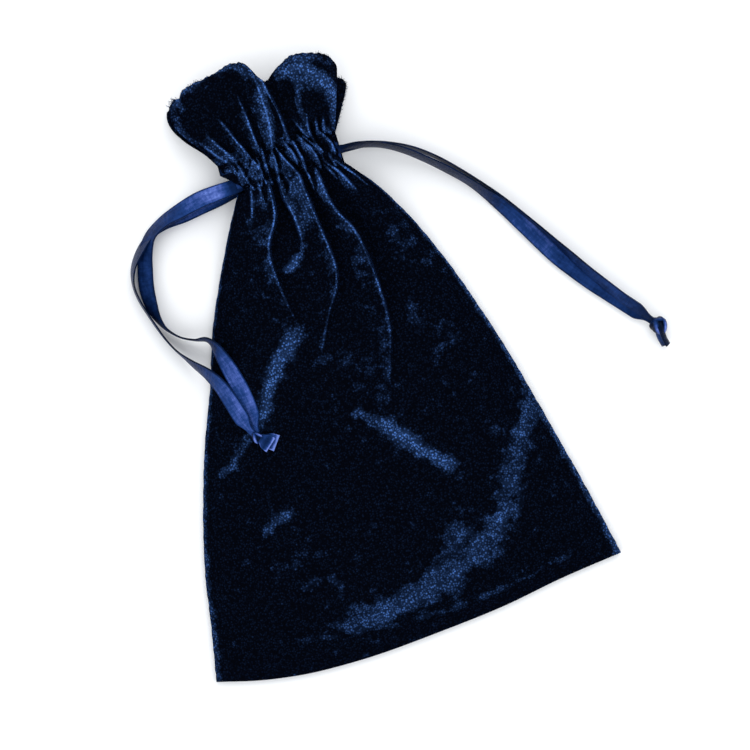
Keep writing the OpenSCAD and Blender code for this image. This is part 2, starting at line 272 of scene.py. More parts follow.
def sheet_mesh(name, x, y, top, low, nap_and_painted_light):
    """Closed cloth between two heights. The upper face is fine, the lower one coarser."""
    over, under = np.dstack([x, y, top]), np.dstack([x, y, low])
    rows, columns = x.shape
    points = list(over.reshape(-1, 3))
    naps = list(nap_and_painted_light.reshape(-1))
    faces = []
    for r in range(rows - 1):
        for c in range(columns - 1):
            a = r * columns + c
            faces.append((a, a + 1, a + columns + 1, a + columns))
    low = {}

    def lower(r, c):
        if (r, c) not in low:
            low[r, c] = len(points)
            points.append(under[r, c])
            naps.append(nap_and_painted_light[r, c])
        return low[r, c]

    for r in range(0, rows - 1, COARSE):
        for c in range(0, columns - 1, COARSE):
            r1, c1 = r + COARSE, c + COARSE
            ring = [lower(r, c)]
            ring += [lower(k, c) for k in range(r + 1, r1)] if c == 0 else []
            ring += [lower(r1, c)]
            ring += [lower(r1, k) for k in range(c + 1, c1)] if r1 == rows - 1 else []
            ring += [lower(r1, c1)]
            ring += [lower(k, c1) for k in range(r1 - 1, r, -1)] if c1 == columns - 1 else []
            ring += [lower(r, c1)]
            ring += [lower(r, k) for k in range(c1 - 1, c, -1)] if r == 0 else []
            faces.append(tuple(ring))
    rim = [(0, c) for c in range(columns)]
    rim += [(r, columns - 1) for r in range(1, rows)]
    rim += [(rows - 1, c) for c in range(columns - 2, -1, -1)]
    rim += [(r, 0) for r in range(rows - 2, 0, -1)]
    for k, (r, c) in enumerate(rim):
        r2, c2 = rim[(k + 1) % len(rim)]
        faces.append((r2 * columns + c2, r * columns + c, lower(r, c), lower(r2, c2)))
    piece = make_mesh(name, points, faces)
    store(piece, "nap_and_painted_light", naps)
    return piece


def tube_mesh(name, outer, inner, nap_and_painted_light):
    """A tube along X from rings of points: outer[x][ring], with a tunnel inner[x][ring]."""
    columns, ring = outer.shape[:2]
    n = columns * ring
    points = np.concatenate([outer.reshape(-1, 3), inner.reshape(-1, 3)])
    faces = []
    for c in range(columns - 1):
        for j in range(ring):
            a, b = c * ring + j, c * ring + (j + 1) % ring
            faces.append((a, b, b + ring, a + ring))
            faces.append((a + n + ring, b + n + ring, b + n, a + n))
    last = (columns - 1) * ring
    for j in range(ring):
        k = (j + 1) % ring
        faces.append((k, j, j + n, k + n))
        faces.append((last + j, last + k, last + k + n, last + j + n))
    piece = make_mesh(name, points, faces)
    store(piece, "nap_and_painted_light", np.concatenate([nap_and_painted_light.ravel(), np.zeros(n)]))
    return piece


def band_frames(route):
    """Width direction and thickness direction at each ring of a [x, y, z, roll] route."""
    places = route[:, :3]
    ahead = np.gradient(places, axis=0)
    ahead /= np.linalg.norm(ahead, axis=1)[:, None]
    flat = np.cross([0, 0, 1], ahead)
    flat /= np.linalg.norm(flat, axis=1)[:, None]
    up = np.cross(ahead, flat)
    roll = np.radians(route[:, 3])[:, None]
    return flat * np.cos(roll) + up * np.sin(roll), up * np.cos(roll) - flat * np.sin(roll)


def skin_faces(first, count, ring, closed=False):
    """Faces of a skin through count rings of ring points, the first of which is point first. It
    closes round on itself, or else has a face at both ends."""
    faces = []
    for k in range(count if closed else count - 1):
        for j in range(ring):
            a, b = k * ring + j, k * ring + (j + 1) % ring
            ahead = (k + 1) % count * ring - k * ring
            faces.append((a, b, b + ahead, a + ahead))
    if not closed:
        faces.append(range(ring - 1, -1, -1))
        faces.append(range((count - 1) * ring, count * ring))
    return [tuple(first + point for point in face) for face in faces]


def skin_mesh(name, rings, closed=False):
    """A mesh through rings of points."""
    count, ring = rings.shape[:2]
    return make_mesh(name, rings.reshape(-1, 3), skin_faces(0, count, ring, closed))


def weave_and_painted_light(piece, along, across, lit):
    """What the satin reads: the place along and across the ribbon, and its painted light."""
    store(piece, "along", along)
    store(piece, "across", across)
    store(piece, "lit", lit)


def travelled(route):
    """How far along the route each of its places is."""
    steps = np.linalg.norm(np.diff(route[:, :3], axis=0), axis=1)
    return np.concatenate([[0], np.cumsum(steps)])


def band_mesh(name, route, section, widths=None, lit=None, edge_light=0.4):
    """A band swept along a [x, y, z, roll] route. section is the ring of (across, up) points, lit
    the painted light along it, and the last argument how much of that its edges keep: below 1 it
    paints shade on the edges, above 1 a highlight."""
    wide, thick = band_frames(route)
    widths = np.ones(len(route)) if widths is None else widths
    lit = np.full(len(route), 0.5) if lit is None else lit
    section = np.array(section, float)
    ring = len(section)
    rings = (
        route[:, None, :3]
        + wide[:, None, :] * (section[None, :, 0, None] * widths[:, None, None])
        + thick[:, None, :] * section[None, :, 1, None]
    )
    piece = skin_mesh(name, rings)
    length = travelled(route)
    flatness = np.abs(thick[:, 2])
    rim = np.abs(section[:, 0]) / np.abs(section[:, 0]).max()
    edges = 1 - (1 - edge_light) * step(0.8, 0.97, rim)
    # painted light: paler where the band lies flat and faces up
    shade = (lit * (0.25 + 0.75 * flatness))[:, None] * edges[None, :]
    weave_and_painted_light(piece, np.repeat(length, ring), np.tile(section[:, 0], len(route)), shade)
    return piece


def ribbon_section(width, thickness, crown=0.25):
    """Closed ring of a woven ribbon: a slightly crowned strip with round, thicker selvedges."""
    across = np.sin(np.linspace(-1, 1, 17) * math.pi / 2)
    middle = crown * (1 - across**2)
    half = thickness / 2 * (1 + 0.35 * step(0.84, 0.97, np.abs(across)))
    top, low = middle + half, middle - half
    top[[0, -1]] -= thickness * 0.4
    low[[0, -1]] += thickness * 0.4
    upper = [(a * width / 2, z) for a, z in zip(across[::-1], top[::-1])]
    lower = [(a * width / 2, z) for a, z in zip(across, low)]
    return upper + lower


# ---------------------------------------------------------------- the bag's outline

# how far the bag reaches left and right of its middle line, as parts of its half width
LEFT_SIDE = [
    (0, 1), (0.12, 0.947), (0.25, 0.894), (0.37, 0.821), (0.5, 0.728), (0.62, 0.623),
    (0.74, 0.53), (0.86, 0.404), (0.94, 0.311), (1, -NECK_X0 / HALF_W),
]
RIGHT_SIDE = [
    (0, 1), (0.12, 0.95), (0.25, 0.891), (0.37, 0.832), (0.5, 0.768), (0.62, 0.695),
    (0.74, 0.609), (0.86, 0.497), (0.94, 0.397), (1, NECK_X1 / HALF_W),
]
# how far the bottom edge rises above its lowest point, from left to right
BOTTOM_RISE = [
    (-1, 7.5), (-0.8, 3.5), (-0.6, 1), (-0.35, 0), (0.1, 1.5), (0.4, 3.5), (0.7, 7), (1, 9.5),
]
# how much of the hollow's full height the bag has, from its bottom seam to the casing
SWELL = [(0, 0), (0.03, 0.4), (0.1, 0.84), (0.25, 1), (0.7, 1), (0.85, 0.82), (1, 0.48)]
HOLLOW_H = 10


def bag_xy(s, u):
    """A place on the bag: s from the bottom seam (0) to the casing (1), u from left (-1) to right
    (1). The right edge is a little rough."""
    x = HALF_W * (-read(LEFT_SIDE, s) * (1 - u) + read(RIGHT_SIDE, s) * (1 + u)) / 2
    x = x + 0.18 * u**9 * noise(140 * s, 0 * s, 1.4, 46)
    low = BOTTOM_Y - 0.45 + read(BOTTOM_RISE, u)
    return x, low + (CASING_Y0 - low) * s


def back_top(s):
    """Height of the back's upper face."""
    return CLOTH + (BACK_CASING_TOP - CLOTH) * np.clip((s - 0.72) / 0.28, 0, 1)


def front_dome(s, u):
    """Height of the front's upper face before its folds."""
    roundness = np.maximum(0, 1 - u**4) ** 0.75
    cloth = CLOTH + (CASING_TOP - CASING_UNDER - CLOTH) * np.clip((s - 0.8) / 0.2, 0, 1)
    return back_top(s) + HOLLOW_H * read(SWELL, s) * roundness + cloth


# ---------------------------------------------------------------- folds of the front

# folds that run down from the gathered neck: line, height along it, width of the gentle side,
# width of the steep side, depth and width of the hollow beside it, and the steep side
NECK_FOLDS = [
    (
        [(-5.6, 64), (-5.9, 59.6), (-6.1, 56.2), (-6.6, 51.8), (-8.2, 48.2), (-10.4, 45),
         (-12.2, 41), (-13, 35), (-12.4, 26), (-11, 16), (-10, 8)],
        [1.5, 1.9, 1.9, 1.8, 1.6, 1.4, 0.9, 0.4, 0], 5.5, 0.9, 1.1, 3.0, 1,
    ),
    (
        [(-1.8, 64), (-2.2, 60), (-2.1, 55.5), (-0.9, 50), (-0.6, 45), (-0.6, 41), (-1.6, 37)],
        [1.2, 1.5, 1.6, 1.6, 1.5, 1.2, 0.6], 3.4, 0.9, 0.9, 2.2, -1,
    ),
    (
        [(1.4, 71), (2.8, 67.9), (4, 65.8), (5.4, 62.4), (5.5, 58), (6, 53.9), (6.5, 48.5),
         (7.2, 42), (8, 35), (8.3, 28), (6.5, 21), (2, 14), (-3, 5), (-6, -1)],
        [0.8, 1.6, 2.2, 2.4, 2.3, 2.1, 1.9, 1.6, 1.3, 1.0, 0.6, 0], 3.6, 0.9, 1.0, 3.0, 1,
    ),
    (
        [(10.4, 64.7), (11.8, 62.2), (12.1, 59), (12.4, 54.4), (13.2, 50), (15, 45), (17.6, 40.4),
         (19.4, 34), (20.3, 26), (20.8, 18), (20.8, 8), (19.4, -2), (16.5, -10), (14, -18)],
        [0.9, 1.8, 2.4, 2.6, 2.6, 2.4, 2.1, 1.9, 1.6, 1.3, 1.0, 0.6, 0], 5.0, 0.9, 1.7, 4.6, 1,
    ),
    (
        [(14.8, 65.5), (16.9, 62.7), (19.4, 59.3), (21.6, 55.1), (23.8, 50.6)],
        [0.8, 1.8, 1.8, 1.4, 0.3], 2.6, 0.8, 1.0, 3.2, 1,
    ),
    ([(14.2, 64.5), (16.4, 60.8), (18, 57)], [0.5, 0.9, 0], 1.2, 0.6, 0.4, 1.0, 1),
    (
        [(0.7, 62.6), (1.4, 60.4), (0.8, 58.2), (-0.6, 57)],
        [0.6, 1.1, 0.9, 0], 1.0, 0.6, 0.8, 1.2, -1,
    ),
    ([(-9, 63), (-9.2, 59), (-9.8, 54)], [0.8, 0.7, 0], 1.6, 0.8, 0.5, 1.4, 1),
    ([(-12.4, 63), (-13.6, 58), (-15.4, 52)], [0.8, 0.6, 0], 1.6, 0.9, 0.5, 1.6, -1),
    ([(8.2, 65), (8.8, 60), (9.2, 54)], [0.8, 0.8, 0], 1.2, 0.7, 0.5, 1.2, 1),
    ([(19.2, 64), (23.5, 58.5), (28, 52)], [0.6, 0.6, 0], 1.8, 0.9, 0.5, 2.0, 1),
]

# broad, shallow swellings and hollows of the body: x, y, half widths, turn, height
SWELLINGS = [
    (-34, 2, 17, 40, -20, 0.9), (-30, -38, 20, 22, -15, -0.8), (-4, -16, 12, 24, 10, 0.8),
    (20, -42, 18, 9, -48, 1.1), (12, -54, 18, 8, -48, -0.9), (44, -20, 9, 36, 28, 0.8),
    (30, 6, 9, 26, 18, -1.0), (40, 18, 7, 22, 28, 0.6), (45, -66, 13, 26, -35, 1.0),
    (22, -74, 30, 9, 12, -0.9), (-40, -78, 22, 14, 6, 0.7), (-8, -90, 34, 7, -2, 0.6),
    (-50, -14, 8, 28, 22, -0.9), (62, -62, 8, 22, -20, -0.7), (-16, 28, 7, 16, 4, -0.8),
    (-5.2, 44, 2.6, 10, -8, -1.3), (-5.5, 33.5, 5.5, 3, 25, 0.7),
]


def swell(z, x, y, rows):
    """The heights z with the swellings in rows added."""
    for cx, cy, rx, ry, turn, height in rows:
        z = z + height * bump(x, y, cx, cy, rx, ry, turn)
    return z


def bag_folds(x, y):
    """What the front's cloth does on top of its plain swelling, and its painted light: painted
    highlights on the folds and gathers, painted shade in the hollows beside the folds.
    """
    z, light = sum_folds(x, y, NECK_FOLDS, 1.5)
    z = swell(z, x, y, SWELLINGS)
    thin, glint = small_gathers(x, y)
    return z + thin, np.where(glint > np.abs(light), glint, light)


def crush(x, y):
    """Small uneven dents of crushed pile."""
    return 0.3 * noise(x, y, 11, 1) + 0.14 * noise(x, y, 4.5, 2) + 0.07 * noise(x, y, 1.5, 3)


# painted sheen where the pile on the bag's front is brushed over, and painted highlights on lit
# bulges and edges: line, half width, strength
BAG_SHEEN = [
    ([(-54, -33), (-48, -28), (-42, -23), (-35, -17)], 2.2, 0.45),
    ([(-37, -20), (-33, -15), (-29, -10), (-22, 0), (-15, 7), (-9, 12)], 2.4, 1.0),
    ([(5, -27), (12, -35), (20, -44), (29, -53)], 2.6, 1.0),
    ([(-3, -22), (4, -26), (9, -32)], 2.2, 0.4),
    ([(-45, -55), (-38, -52), (-29, -50)], 2.0, 0.55),
    ([(64, -26), (61, -36), (54, -47), (46, -60), (39, -72), (33, -82)], 5.0, 0.48),
    ([(44, -62), (36, -75), (24, -84), (8, -90), (-10, -93), (-30, -96)], 5.0, 0.6),
    ([(26, -70), (16, -82), (2, -88)], 5.0, 0.4),
    ([(-6, 3), (2, -4), (11, -11)], 6.0, 0.2),
    ([(24, 12), (32, 0), (42, -14)], 6.0, 0.2),
    ([(30, 38), (35, 28), (42, 16)], 4.0, 0.25),
    ([(20, -8), (14, -16), (8, -24)], 5.0, 0.18),
    ([(-10, 31), (-6, 33.2), (-1.6, 37)], 1.5, 1.3),
    ([(3.5, 66), (5, 63), (5.5, 58)], 1.6, 0.7),
    ([(2.6, 62), (3.6, 56), (4.2, 50), (5, 44)], 1.9, 0.5),
    ([(9.6, 64), (10.8, 60), (11.4, 55), (12, 50)], 1.9, 0.6),
    ([(17, 63), (20, 58), (23, 52)], 1.8, 0.35),
    ([(-4.4, 62), (-4.6, 57), (-4.8, 52)], 1.3, 0.35),
    ([(-13, 62), (-16, 54), (-19, 46)], 2.0, 0.25),
    ([(-52, -92), (-20, -98), (20, -99), (60, -93)], 1.4, 0.3),
    ([(28, 58), (44, 40), (58, 14), (68, -30), (74, -80)], 2.0, 0.3),
    ([(-36, -60), (-30, -75), (-20, -86)], 7.0, 0.14),
    ([(30, -20), (40, -36), (48, -50)], 5.0, 0.12),
]


def painted_rim_sheen(u):
    """Painted sheen along the bag's sides, brighter on the right."""
    return np.where(u > 0, 0.75, 0.55) * step(0.955, 1.0, np.abs(u))


def grid(rows, columns, spread=0.3):
    """Even s from 0 to 1 down the rows, and u from -1 to 1 along the columns, closer together at
    the sides."""
    s = np.linspace(0, 1, rows)[:, None] * np.ones((1, columns))
    even = np.linspace(-1, 1, columns)
    u = (1 - spread) * even + spread * np.sin(even * math.pi / 2)
    return s, u[None, :] * np.ones((rows, 1))


def front_panel():
    """The bag's front, domed over the hollow, with its folds and their painted light and sheen."""
    s, u = grid(301, 261)
    x, y = bag_xy(s, u)
    edge = step(0, 0.05, 1 - np.abs(u)) * step(0, 0.03, s)
    folds, light = bag_folds(x, y)
    top = front_dome(s, u) + (folds + crush(x, y)) * (0.15 + 0.85 * edge)
    top = np.maximum(top, back_top(s) + 0.5)
    under = np.maximum(top - CLOTH, back_top(s) + 0.05)
    nap_and_painted_light = np.maximum(sheen_strokes(x, y, BAG_SHEEN), painted_rim_sheen(u)) + light
    piece = sheet_mesh("front_panel_cloth", x, y, top, under, nap_and_painted_light)
    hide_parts("front_panel")
    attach(piece, "pouch")
    return [piece]


def gathers(x, count, seed):
    """Rounded ridges and sharp creases across the neck, 0 in the creases and 1 on the ridges."""
    phase = (x - NECK_X0) / (2 * NECK_HALF) * count + 0.35 * noise(x, 0 * x, 3.1, seed)
    return np.abs(np.sin(math.pi * phase)) ** 0.6


def back_panel():
    """The bag's back, flat on the table and gathered towards the neck."""
    s, u = grid(121, 141)
    x, y = bag_xy(s, u)
    neck = np.clip((s - 0.72) / 0.28, 0, 1) ** 1.5
    ridges = gathers(x * (2 * NECK_HALF) / (2 * HALF_W * (1 - 0.75 * s)), 13, 21)
    edge = 1 - step(0, 0.03, 1 - np.abs(u))
    top = back_top(s) - 0.7 * neck * (1 - ridges) - 0.35 * edge
    under = 0.9 * neck * (1 - ridges) + 0.35 * edge + 0.05 * (1 + noise(x, y, 6, 22))
    nap_and_painted_light = 0.3 * np.ones(x.shape)
    piece = sheet_mesh("back_panel_cloth", x, y, top, under, nap_and_painted_light)
    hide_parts("back_panel")
    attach(piece, "pouch")
    return [piece]


# ---------------------------------------------------------------- casing

# ridges of the gathered casing: line from its upper to its lower edge, height, gentle width, side
CASING_RIDGES = [
    ([(9.1, 76), (10.4, 73.3), (12.2, 70.4), (13.1, 67.5), (13.6, 63)], 1.2, 1.3, 1),
    ([(10.7, 75.4), (12.1, 73.1), (13.6, 71.1), (15.5, 68.5)], 0.9, 0.9, 1),
    ([(13.4, 76), (13.6, 74), (14.3, 71.5), (16, 68)], 0.8, 0.9, 1),
    ([(3.9, 75), (5, 72), (5.7, 70.6), (6.1, 67)], 1.0, 1.1, 1),
    ([(6.9, 74), (7.7, 70.3), (8.3, 68), (8.3, 64)], 1.0, 1.0, 1),
    ([(-0.4, 76.6), (-1.2, 73), (-1, 69.7), (-1.6, 65), (-1.9, 62)], 1.2, 1.2, 1),
    ([(0.4, 74), (1.4, 71), (2.8, 67.9), (4, 65.6), (5.6, 62)], 1.3, 1.3, 1),
    ([(-10.4, 76.4), (-10, 75.1), (-8.4, 71.9), (-7.2, 68), (-6.4, 63)], 1.0, 1.2, 1),
    ([(-8.5, 72.4), (-10.6, 69.4), (-12.4, 67)], 0.8, 0.9, -1),
    ([(-14.1, 71.7), (-13, 67.4), (-12.1, 64.5), (-10.9, 62)], 0.9, 0.9, 1),
    ([(-4.4, 75), (-4.7, 70.2), (-4.6, 65.7), (-4.4, 62)], 1.0, 1.1, 1),
    ([(-7.2, 73), (-6.8, 67.3), (-8.6, 61)], 0.7, 0.8, 1),
    ([(-16.4, 75.5), (-15, 73.4), (-14.2, 71.5)], 0.6, 0.8, -1),
    ([(16.4, 75.6), (18.4, 72.6), (19.6, 70), (19.9, 66.5)], 1.0, 1.2, 1),
    ([(17, 67.5), (17.6, 65), (18.4, 62)], 0.8, 1.0, -1),
]
STITCH_ROWS = (64.3, 72.9)


def casing_relief(x, y):
    """Height of the casing's gathers over its plain top, and its painted light: painted highlights
    on the gathers and on the rim by the hole, painted shade along the stitch rows and in the hole.
    """
    ridges = [
        (line, [rise] * 3, soft, 0.5, 0.6 * rise, 0.9, side)
        for line, rise, soft, side in CASING_RIDGES
    ]
    z, light = sum_folds(x, y, ridges, 1.4)
    below = 1 - step(66, 72, y)
    neck, neck_light = sum_folds(x, y, NECK_FOLDS, 0.9)
    pinch = sum(np.exp(-(((y - row) / 0.8) ** 2)) for row in STITCH_ROWS)
    pucker = 0.35 * np.sin(x * 2 * math.pi / 1.7 + 0.8 * noise(x, y, 2.5, 31)) * pinch
    hole, rim = bump(x, y, 17.2, 67.8, 1.5, 2.0, -20), bump(x, y, 19.7, 68.2, 0.7, 3.2, 8)
    # painted light: highlights on the gathers and the rim, painted shade along the stitch rows and
    # in the hole
    light = 0.75 * light + 0.6 * neck_light * below - 0.35 * pinch - 1.2 * hole + 0.5 * rim
    thin, glint = small_gathers(x, y)
    light = light + 0.8 * glint
    relief = z + thin + neck * below - 0.9 * pinch + pucker + 0.25 * noise(x, y, 2.2, 32)
    return relief - 1.3 * hole + 0.8 * rim, light


def casing_left(y):
    """The left end is cut on a slant, so the mouth of its tunnel shows."""
    return read([(62, -14.4), (64, -15), (67, -17), (70.5, -18.6), (75, -21.4)], y)


def casing_right(y):
    """The right end is nearly straight."""
    return read([(62, 21.4), (65, 20.6), (68, 21), (71, 20.6), (75, 20.6)], y)


def casing_top(x):
    """Height of the casing's top without its gathers: it falls away at the ends of the neck."""
    return CASING_TOP + 0.2 - 2.2 * np.abs((x - NECK_X) / NECK_HALF) ** 6


def hoops(x, y, top, low):
    """Rings round a tube along X: across its upper face and back across its lower one."""
    return np.concatenate([np.dstack([x, y, top]), np.dstack([x, y, low])[:, ::-1]], axis=1)


TUNNEL_HALF_W = 3.5


def tunnel(x, node, middle, half_height):
    """Rings of the tunnel that a run of ribbon lies in. x is that of the casing's face."""
    across = np.linspace(-1, 1, x.shape[1])[None, :] * np.ones((x.shape[0], 1))
    rise = half_height * (1 - across**6)
    return hoops(x, middle_y(node) + TUNNEL_HALF_W * across, middle + rise, middle - rise)


def front_casing():
    """The gathered tube on the front, which laps a little over the panel and the heading."""
    columns, half = 181, 42
    y0, y1 = CASING_Y0 - 0.6, CASING_Y1 + 0.5
    t = np.linspace(-1, 1, columns)[:, None]
    y = np.linspace(y0, y1, half)[None, :]
    left, right = casing_left(y), casing_right(y)
    x = left + (right - left) * (t + 1) / 2
    y = y * np.ones((columns, 1))
    ends = step(0, 0.06, 1 - np.abs(t))
    relief, light = casing_relief(x, y)
    top = casing_top(x) + relief * (0.45 + 0.55 * ends)
    top -= 1.2 * (1 - step(0, 1.2, np.minimum(y - y0, y1 - y)))
    sag = 0.9 * np.abs((x - NECK_X) / NECK_HALF) ** 6
    low = CASING_UNDER + 0.35 * (1 - gathers(x, 12, 33)) - sag
    outer = hoops(x, y, top, low)
    inner = tunnel(x, "left_front_run", (CASING_TOP + CASING_UNDER) / 2, 0.95)
    # painted light of the gathers, with random paler patches over it
    nap_top = 0.08 + light + 0.55 * step(0.1, 0.8, noise(x, y, 2.6, 34) * 0.5 + 0.5)
    nap_and_painted_light = np.concatenate([nap_top, 0 * nap_top], axis=1)
    piece = tube_mesh("front_casing_cloth", outer[:, ::-1], inner[:, ::-1], nap_and_painted_light[:, ::-1])
    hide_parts("front_casing")
    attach(piece, "pouch")
    return [piece]


STITCH_LENGTH = 1.5
STITCH_PITCH = 2.9
STITCH_RADIUS = 0.14
STITCH_RINGS, STITCH_SIDES = 7, 6


def casing_stitches():
    """Two rows of small stitches, sunk between the gathers of the front casing."""
    points, faces = [], []
    for row in STITCH_ROWS:
        left = casing_left(np.array(row)) + 1.6
        right = casing_right(np.array(row)) - 1.6
        for place in np.arange(left, right, STITCH_PITCH):
            x = place + np.linspace(-0.5, 0.5, STITCH_RINGS) * STITCH_LENGTH
            y = row + 0.25 * noise(x, 0 * x, 3, 45)
            arch = 0.12 - 0.5 * np.linspace(-1, 1, STITCH_RINGS) ** 4
            z = casing_top(x) + casing_relief(x, y)[0] + arch
            faces += skin_faces(len(points), STITCH_RINGS, STITCH_SIDES)
            for k in range(STITCH_RINGS):
                for j in range(STITCH_SIDES):
                    a = 2 * math.pi * j / STITCH_SIDES
                    over, up = STITCH_RADIUS * math.cos(a), STITCH_RADIUS * math.sin(a)
                    points.append((x[k], y[k] + over, z[k] + up))
    piece = make_mesh("front_casing_stitches", points, faces)
    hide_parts("front_casing_thread")
    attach(piece, "pouch")
    return piece


def back_casing():
    """The same tube on the back, flat on the table."""
    columns, half = 121, 24
    t = np.linspace(-1, 1, columns)[:, None]
    lap = 0.4
    y = np.linspace(CASING_Y0 - lap, CASING_Y1 + lap, half)[None, :] * np.ones((columns, 1))
    x = NECK_X + NECK_HALF * t * np.ones((1, half))
    edge = step(0, 1.0, np.minimum(y - CASING_Y0 + lap, CASING_Y1 + lap - y))
    ridges = gathers(x + 0.2 * (y - CASING_Y0), 13, 41)
    top = BACK_CASING_TOP - 0.5 * (1 - ridges) - 0.8 * (1 - edge)
    low = 0.6 * (1 - ridges) + 0.8 * (1 - edge)
    outer = hoops(x, y, top, low)
    inner = tunnel(x, "left_back_run", BACK_CASING_TOP / 2, 0.88)
    nap_and_painted_light = np.zeros((columns, 2 * half))
    piece = tube_mesh("back_casing_cloth", outer[:, ::-1], inner[:, ::-1], nap_and_painted_light)
    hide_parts("back_casing")
    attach(piece, "pouch")
    return [piece]


# ---------------------------------------------------------------- ruffle

# how far the ruffle reaches past the neck on each side, from the casing (0) to its top edge (1)
FLARE_LEFT = [(0, 3.7), (0.25, 6.9), (0.5, 11.6), (0.75, 14.6), (0.9, 14.8), (1, 14)]
FLARE_RIGHT = [(0, 0), (0.25, 2.2), (0.5, 4.3), (0.75, 6.4), (0.9, 7.1), (1, 6.2)]
# how far its top edge is below its highest point, from left (-1) to right (1)
FRONT_TOP = [
    (-1, 8.2), (-0.95, 6.9), (-0.885, 6.3), (-0.845, 6.5), (-0.815, 4.9), (-0.736, 3.7),
    (-0.547, 2.7), (-0.354, 1.6), (-0.112, 0.4), (0.033, 3.0), (0.067, 5), (0.11, 7.8),
    (0.149, 9.8), (0.197, 9.4), (0.323, 6.9), (0.41, 5.2), (0.516, 3.8), (0.613, 3.7),
    (0.807, 4.9), (0.903, 6), (0.96, 7), (1, 8.6),
]
BACK_TOP = [(-1, 8.7), (-0.9, 6.8), (-0.4, 5.5), (0, 11), (0.5, 9), (0.9, 13.2), (1, 15.6)]
BACK_FLARE = 1.8
# how far below the upper face of a cut edge its fibres stand
FIBRE_DROP = 0.6

# folds of the ruffle's front, as for the bag
RUFFLE_FOLDS = [
    ([(2.6, 98.5), (3.4, 93), (4.6, 87), (5.3, 80), (5.4, 74)],
     [2.0, 2.2, 2.0, 1.6, 1.2], 1.2, 0.8, 0.8, 2.2, 1),
    ([(-0.4, 104), (0.6, 98), (0.9, 90), (0.8, 83), (-0.4, 76), (-1, 72)],
     [0.6, 1.2, 1.5, 1.5, 1.4, 1.2], 5.0, 3.2, 0.0, 1.0, 1),
    ([(-17, 91), (-14.7, 86.9), (-13.4, 83.5), (-12.1, 79.9), (-10.8, 77.4), (-9.6, 74)],
     [0, 0.8, 1.3, 1.5, 1.5, 1.2], 2.2, 0.7, 0.6, 1.6, 1),
    ([(-7.6, 100), (-6.8, 92), (-6.2, 86), (-5.9, 80), (-5.4, 74)],
     [0, 0.7, 1.2, 1.4, 1.2], 2.0, 0.7, 0.6, 1.6, 1),
    ([(-22, 86), (-18.5, 80), (-15, 75), (-13.5, 72)], [0, 0.7, 1.1, 0.8], 2.0, 0.8, 0.5, 1.6, 1),
    ([(-26, 85), (-21.5, 78.5), (-17.5, 73.5)], [0, 0.6, 0.6], 1.6, 0.8, 0.4, 1.4, -1),
    ([(8.6, 82), (10.4, 77.6), (12.2, 74)], [0.3, 1.1, 1.0], 1.4, 0.6, 0.5, 1.2, -1),
    ([(14.3, 82), (13.4, 78), (13.4, 74)], [0.2, 1.1, 1.0], 1.3, 0.6, 0.6, 1.2, 1),
    ([(17.2, 82.5), (16.6, 78), (16, 74)], [0.2, 0.9, 0.9], 1.2, 0.6, 0.5, 1.0, 1),
    ([(20, 82), (19.2, 78), (18.4, 74)], [0.2, 0.9, 0.9], 1.2, 0.6, 0.4, 1.0, 1),
]
RUFFLE_SWELLINGS = [
    (-18, 94, 12, 9, 20, 1.0), (-30, 93, 4, 8, 10, -1.2), (18.5, 84.5, 5.0, 5.5, 0, -2.2),
    (9.8, 91, 2.2, 7, -6, -1.7), (24.5, 88, 2.2, 8, 4, 1.0), (17, 97, 10, 3.2, -14, 1.0),
    (13, 88, 1.6, 7, -2, 0.7), (8, 80, 3, 4, 0, -0.6), (6.4, 90, 1.6, 8, -4, -0.8),
]
# painted sheen on the ruffle where its pile is brushed over, and painted highlights on its lit
# folds: line, half width, strength
RUFFLE_SHEEN = [
    ([(5, 96), (13.9, 98.6), (19.6, 95.1), (24.4, 88.7), (24.6, 83), (22.6, 76)], 2.6, 0.85),
    ([(6, 99), (14, 102), (23, 100)], 2.4, 0.5),
    ([(6, 92), (12, 95), (20, 91)], 4.0, 0.4),
    ([(1.4, 97), (1.8, 92), (2.6, 86), (3.4, 80), (3.6, 75)], 1.7, 0.6),
    ([(-0.6, 88), (0.4, 82), (0, 76)], 1.2, 0.5),
    ([(13, 93), (13, 86), (12.6, 80)], 1.2, 0.4),
    ([(18, 80), (18.6, 76)], 2.4, 0.35),
    ([(-31, 99), (-20, 104), (-8, 106), (0, 100)], 1.1, 0.45),
    ([(-31, 98), (-28, 99), (-27.4, 95)], 0.9, 0.7),
    ([(-32, 96), (-30, 88), (-24, 80), (-19, 72)], 1.4, 0.35),
    ([(-24, 90), (-16, 80), (-10, 74)], 4.0, 0.12),
]
# frayed fibres, as the fringe takes them
FRONT_TUFTS = [
    (0.0, 0.07, 15, 2.1, 128), (0.08, 0.13, 4, 0.9, 120), (0.14, 0.26, 14, 1.6, 112),
    (0.26, 0.44, 9, 0.8, 105), (0.5, 0.62, 6, 0.6, 75), (0.7, 0.86, 8, 0.8, 95),
    (0.9, 1.0, 9, 1.3, 62),
]
BACK_TUFTS = [(0.1, 0.34, 10, 1.7, 62), (0.34, 0.9, 34, 1.2, 5)]
# painted shade in the ruffle's hollow and groove, and darker patches on its left lobe: x, y,
# half widths, turn, strength
RUFFLE_PAINTED_SHADE = [
    (18, 83, 3.4, 4.6, 0, 0.9), (9.6, 93.5, 2.2, 3.4, -10, 0.8), (9.8, 86.5, 1.0, 5.5, -4, 0.8),
    (-9, 96, 8, 7, 20, 0.4), (-20, 90, 7, 5, -30, 0.3),
]


def ruffle_xy(v, u, top, extra):
    """A place on the ruffle: v from the casing (0) to its top edge (1), u from left to right."""
    left = NECK_X0 - read(FLARE_LEFT, v) - extra * v
    right = NECK_X1 + read(FLARE_RIGHT, v) + extra * v
    x = left + (right - left) * (u + 1) / 2
    y0 = HEADING_Y0 - 0.6
    return x, y0 + (TOP_Y - read(top, u) - y0) * v


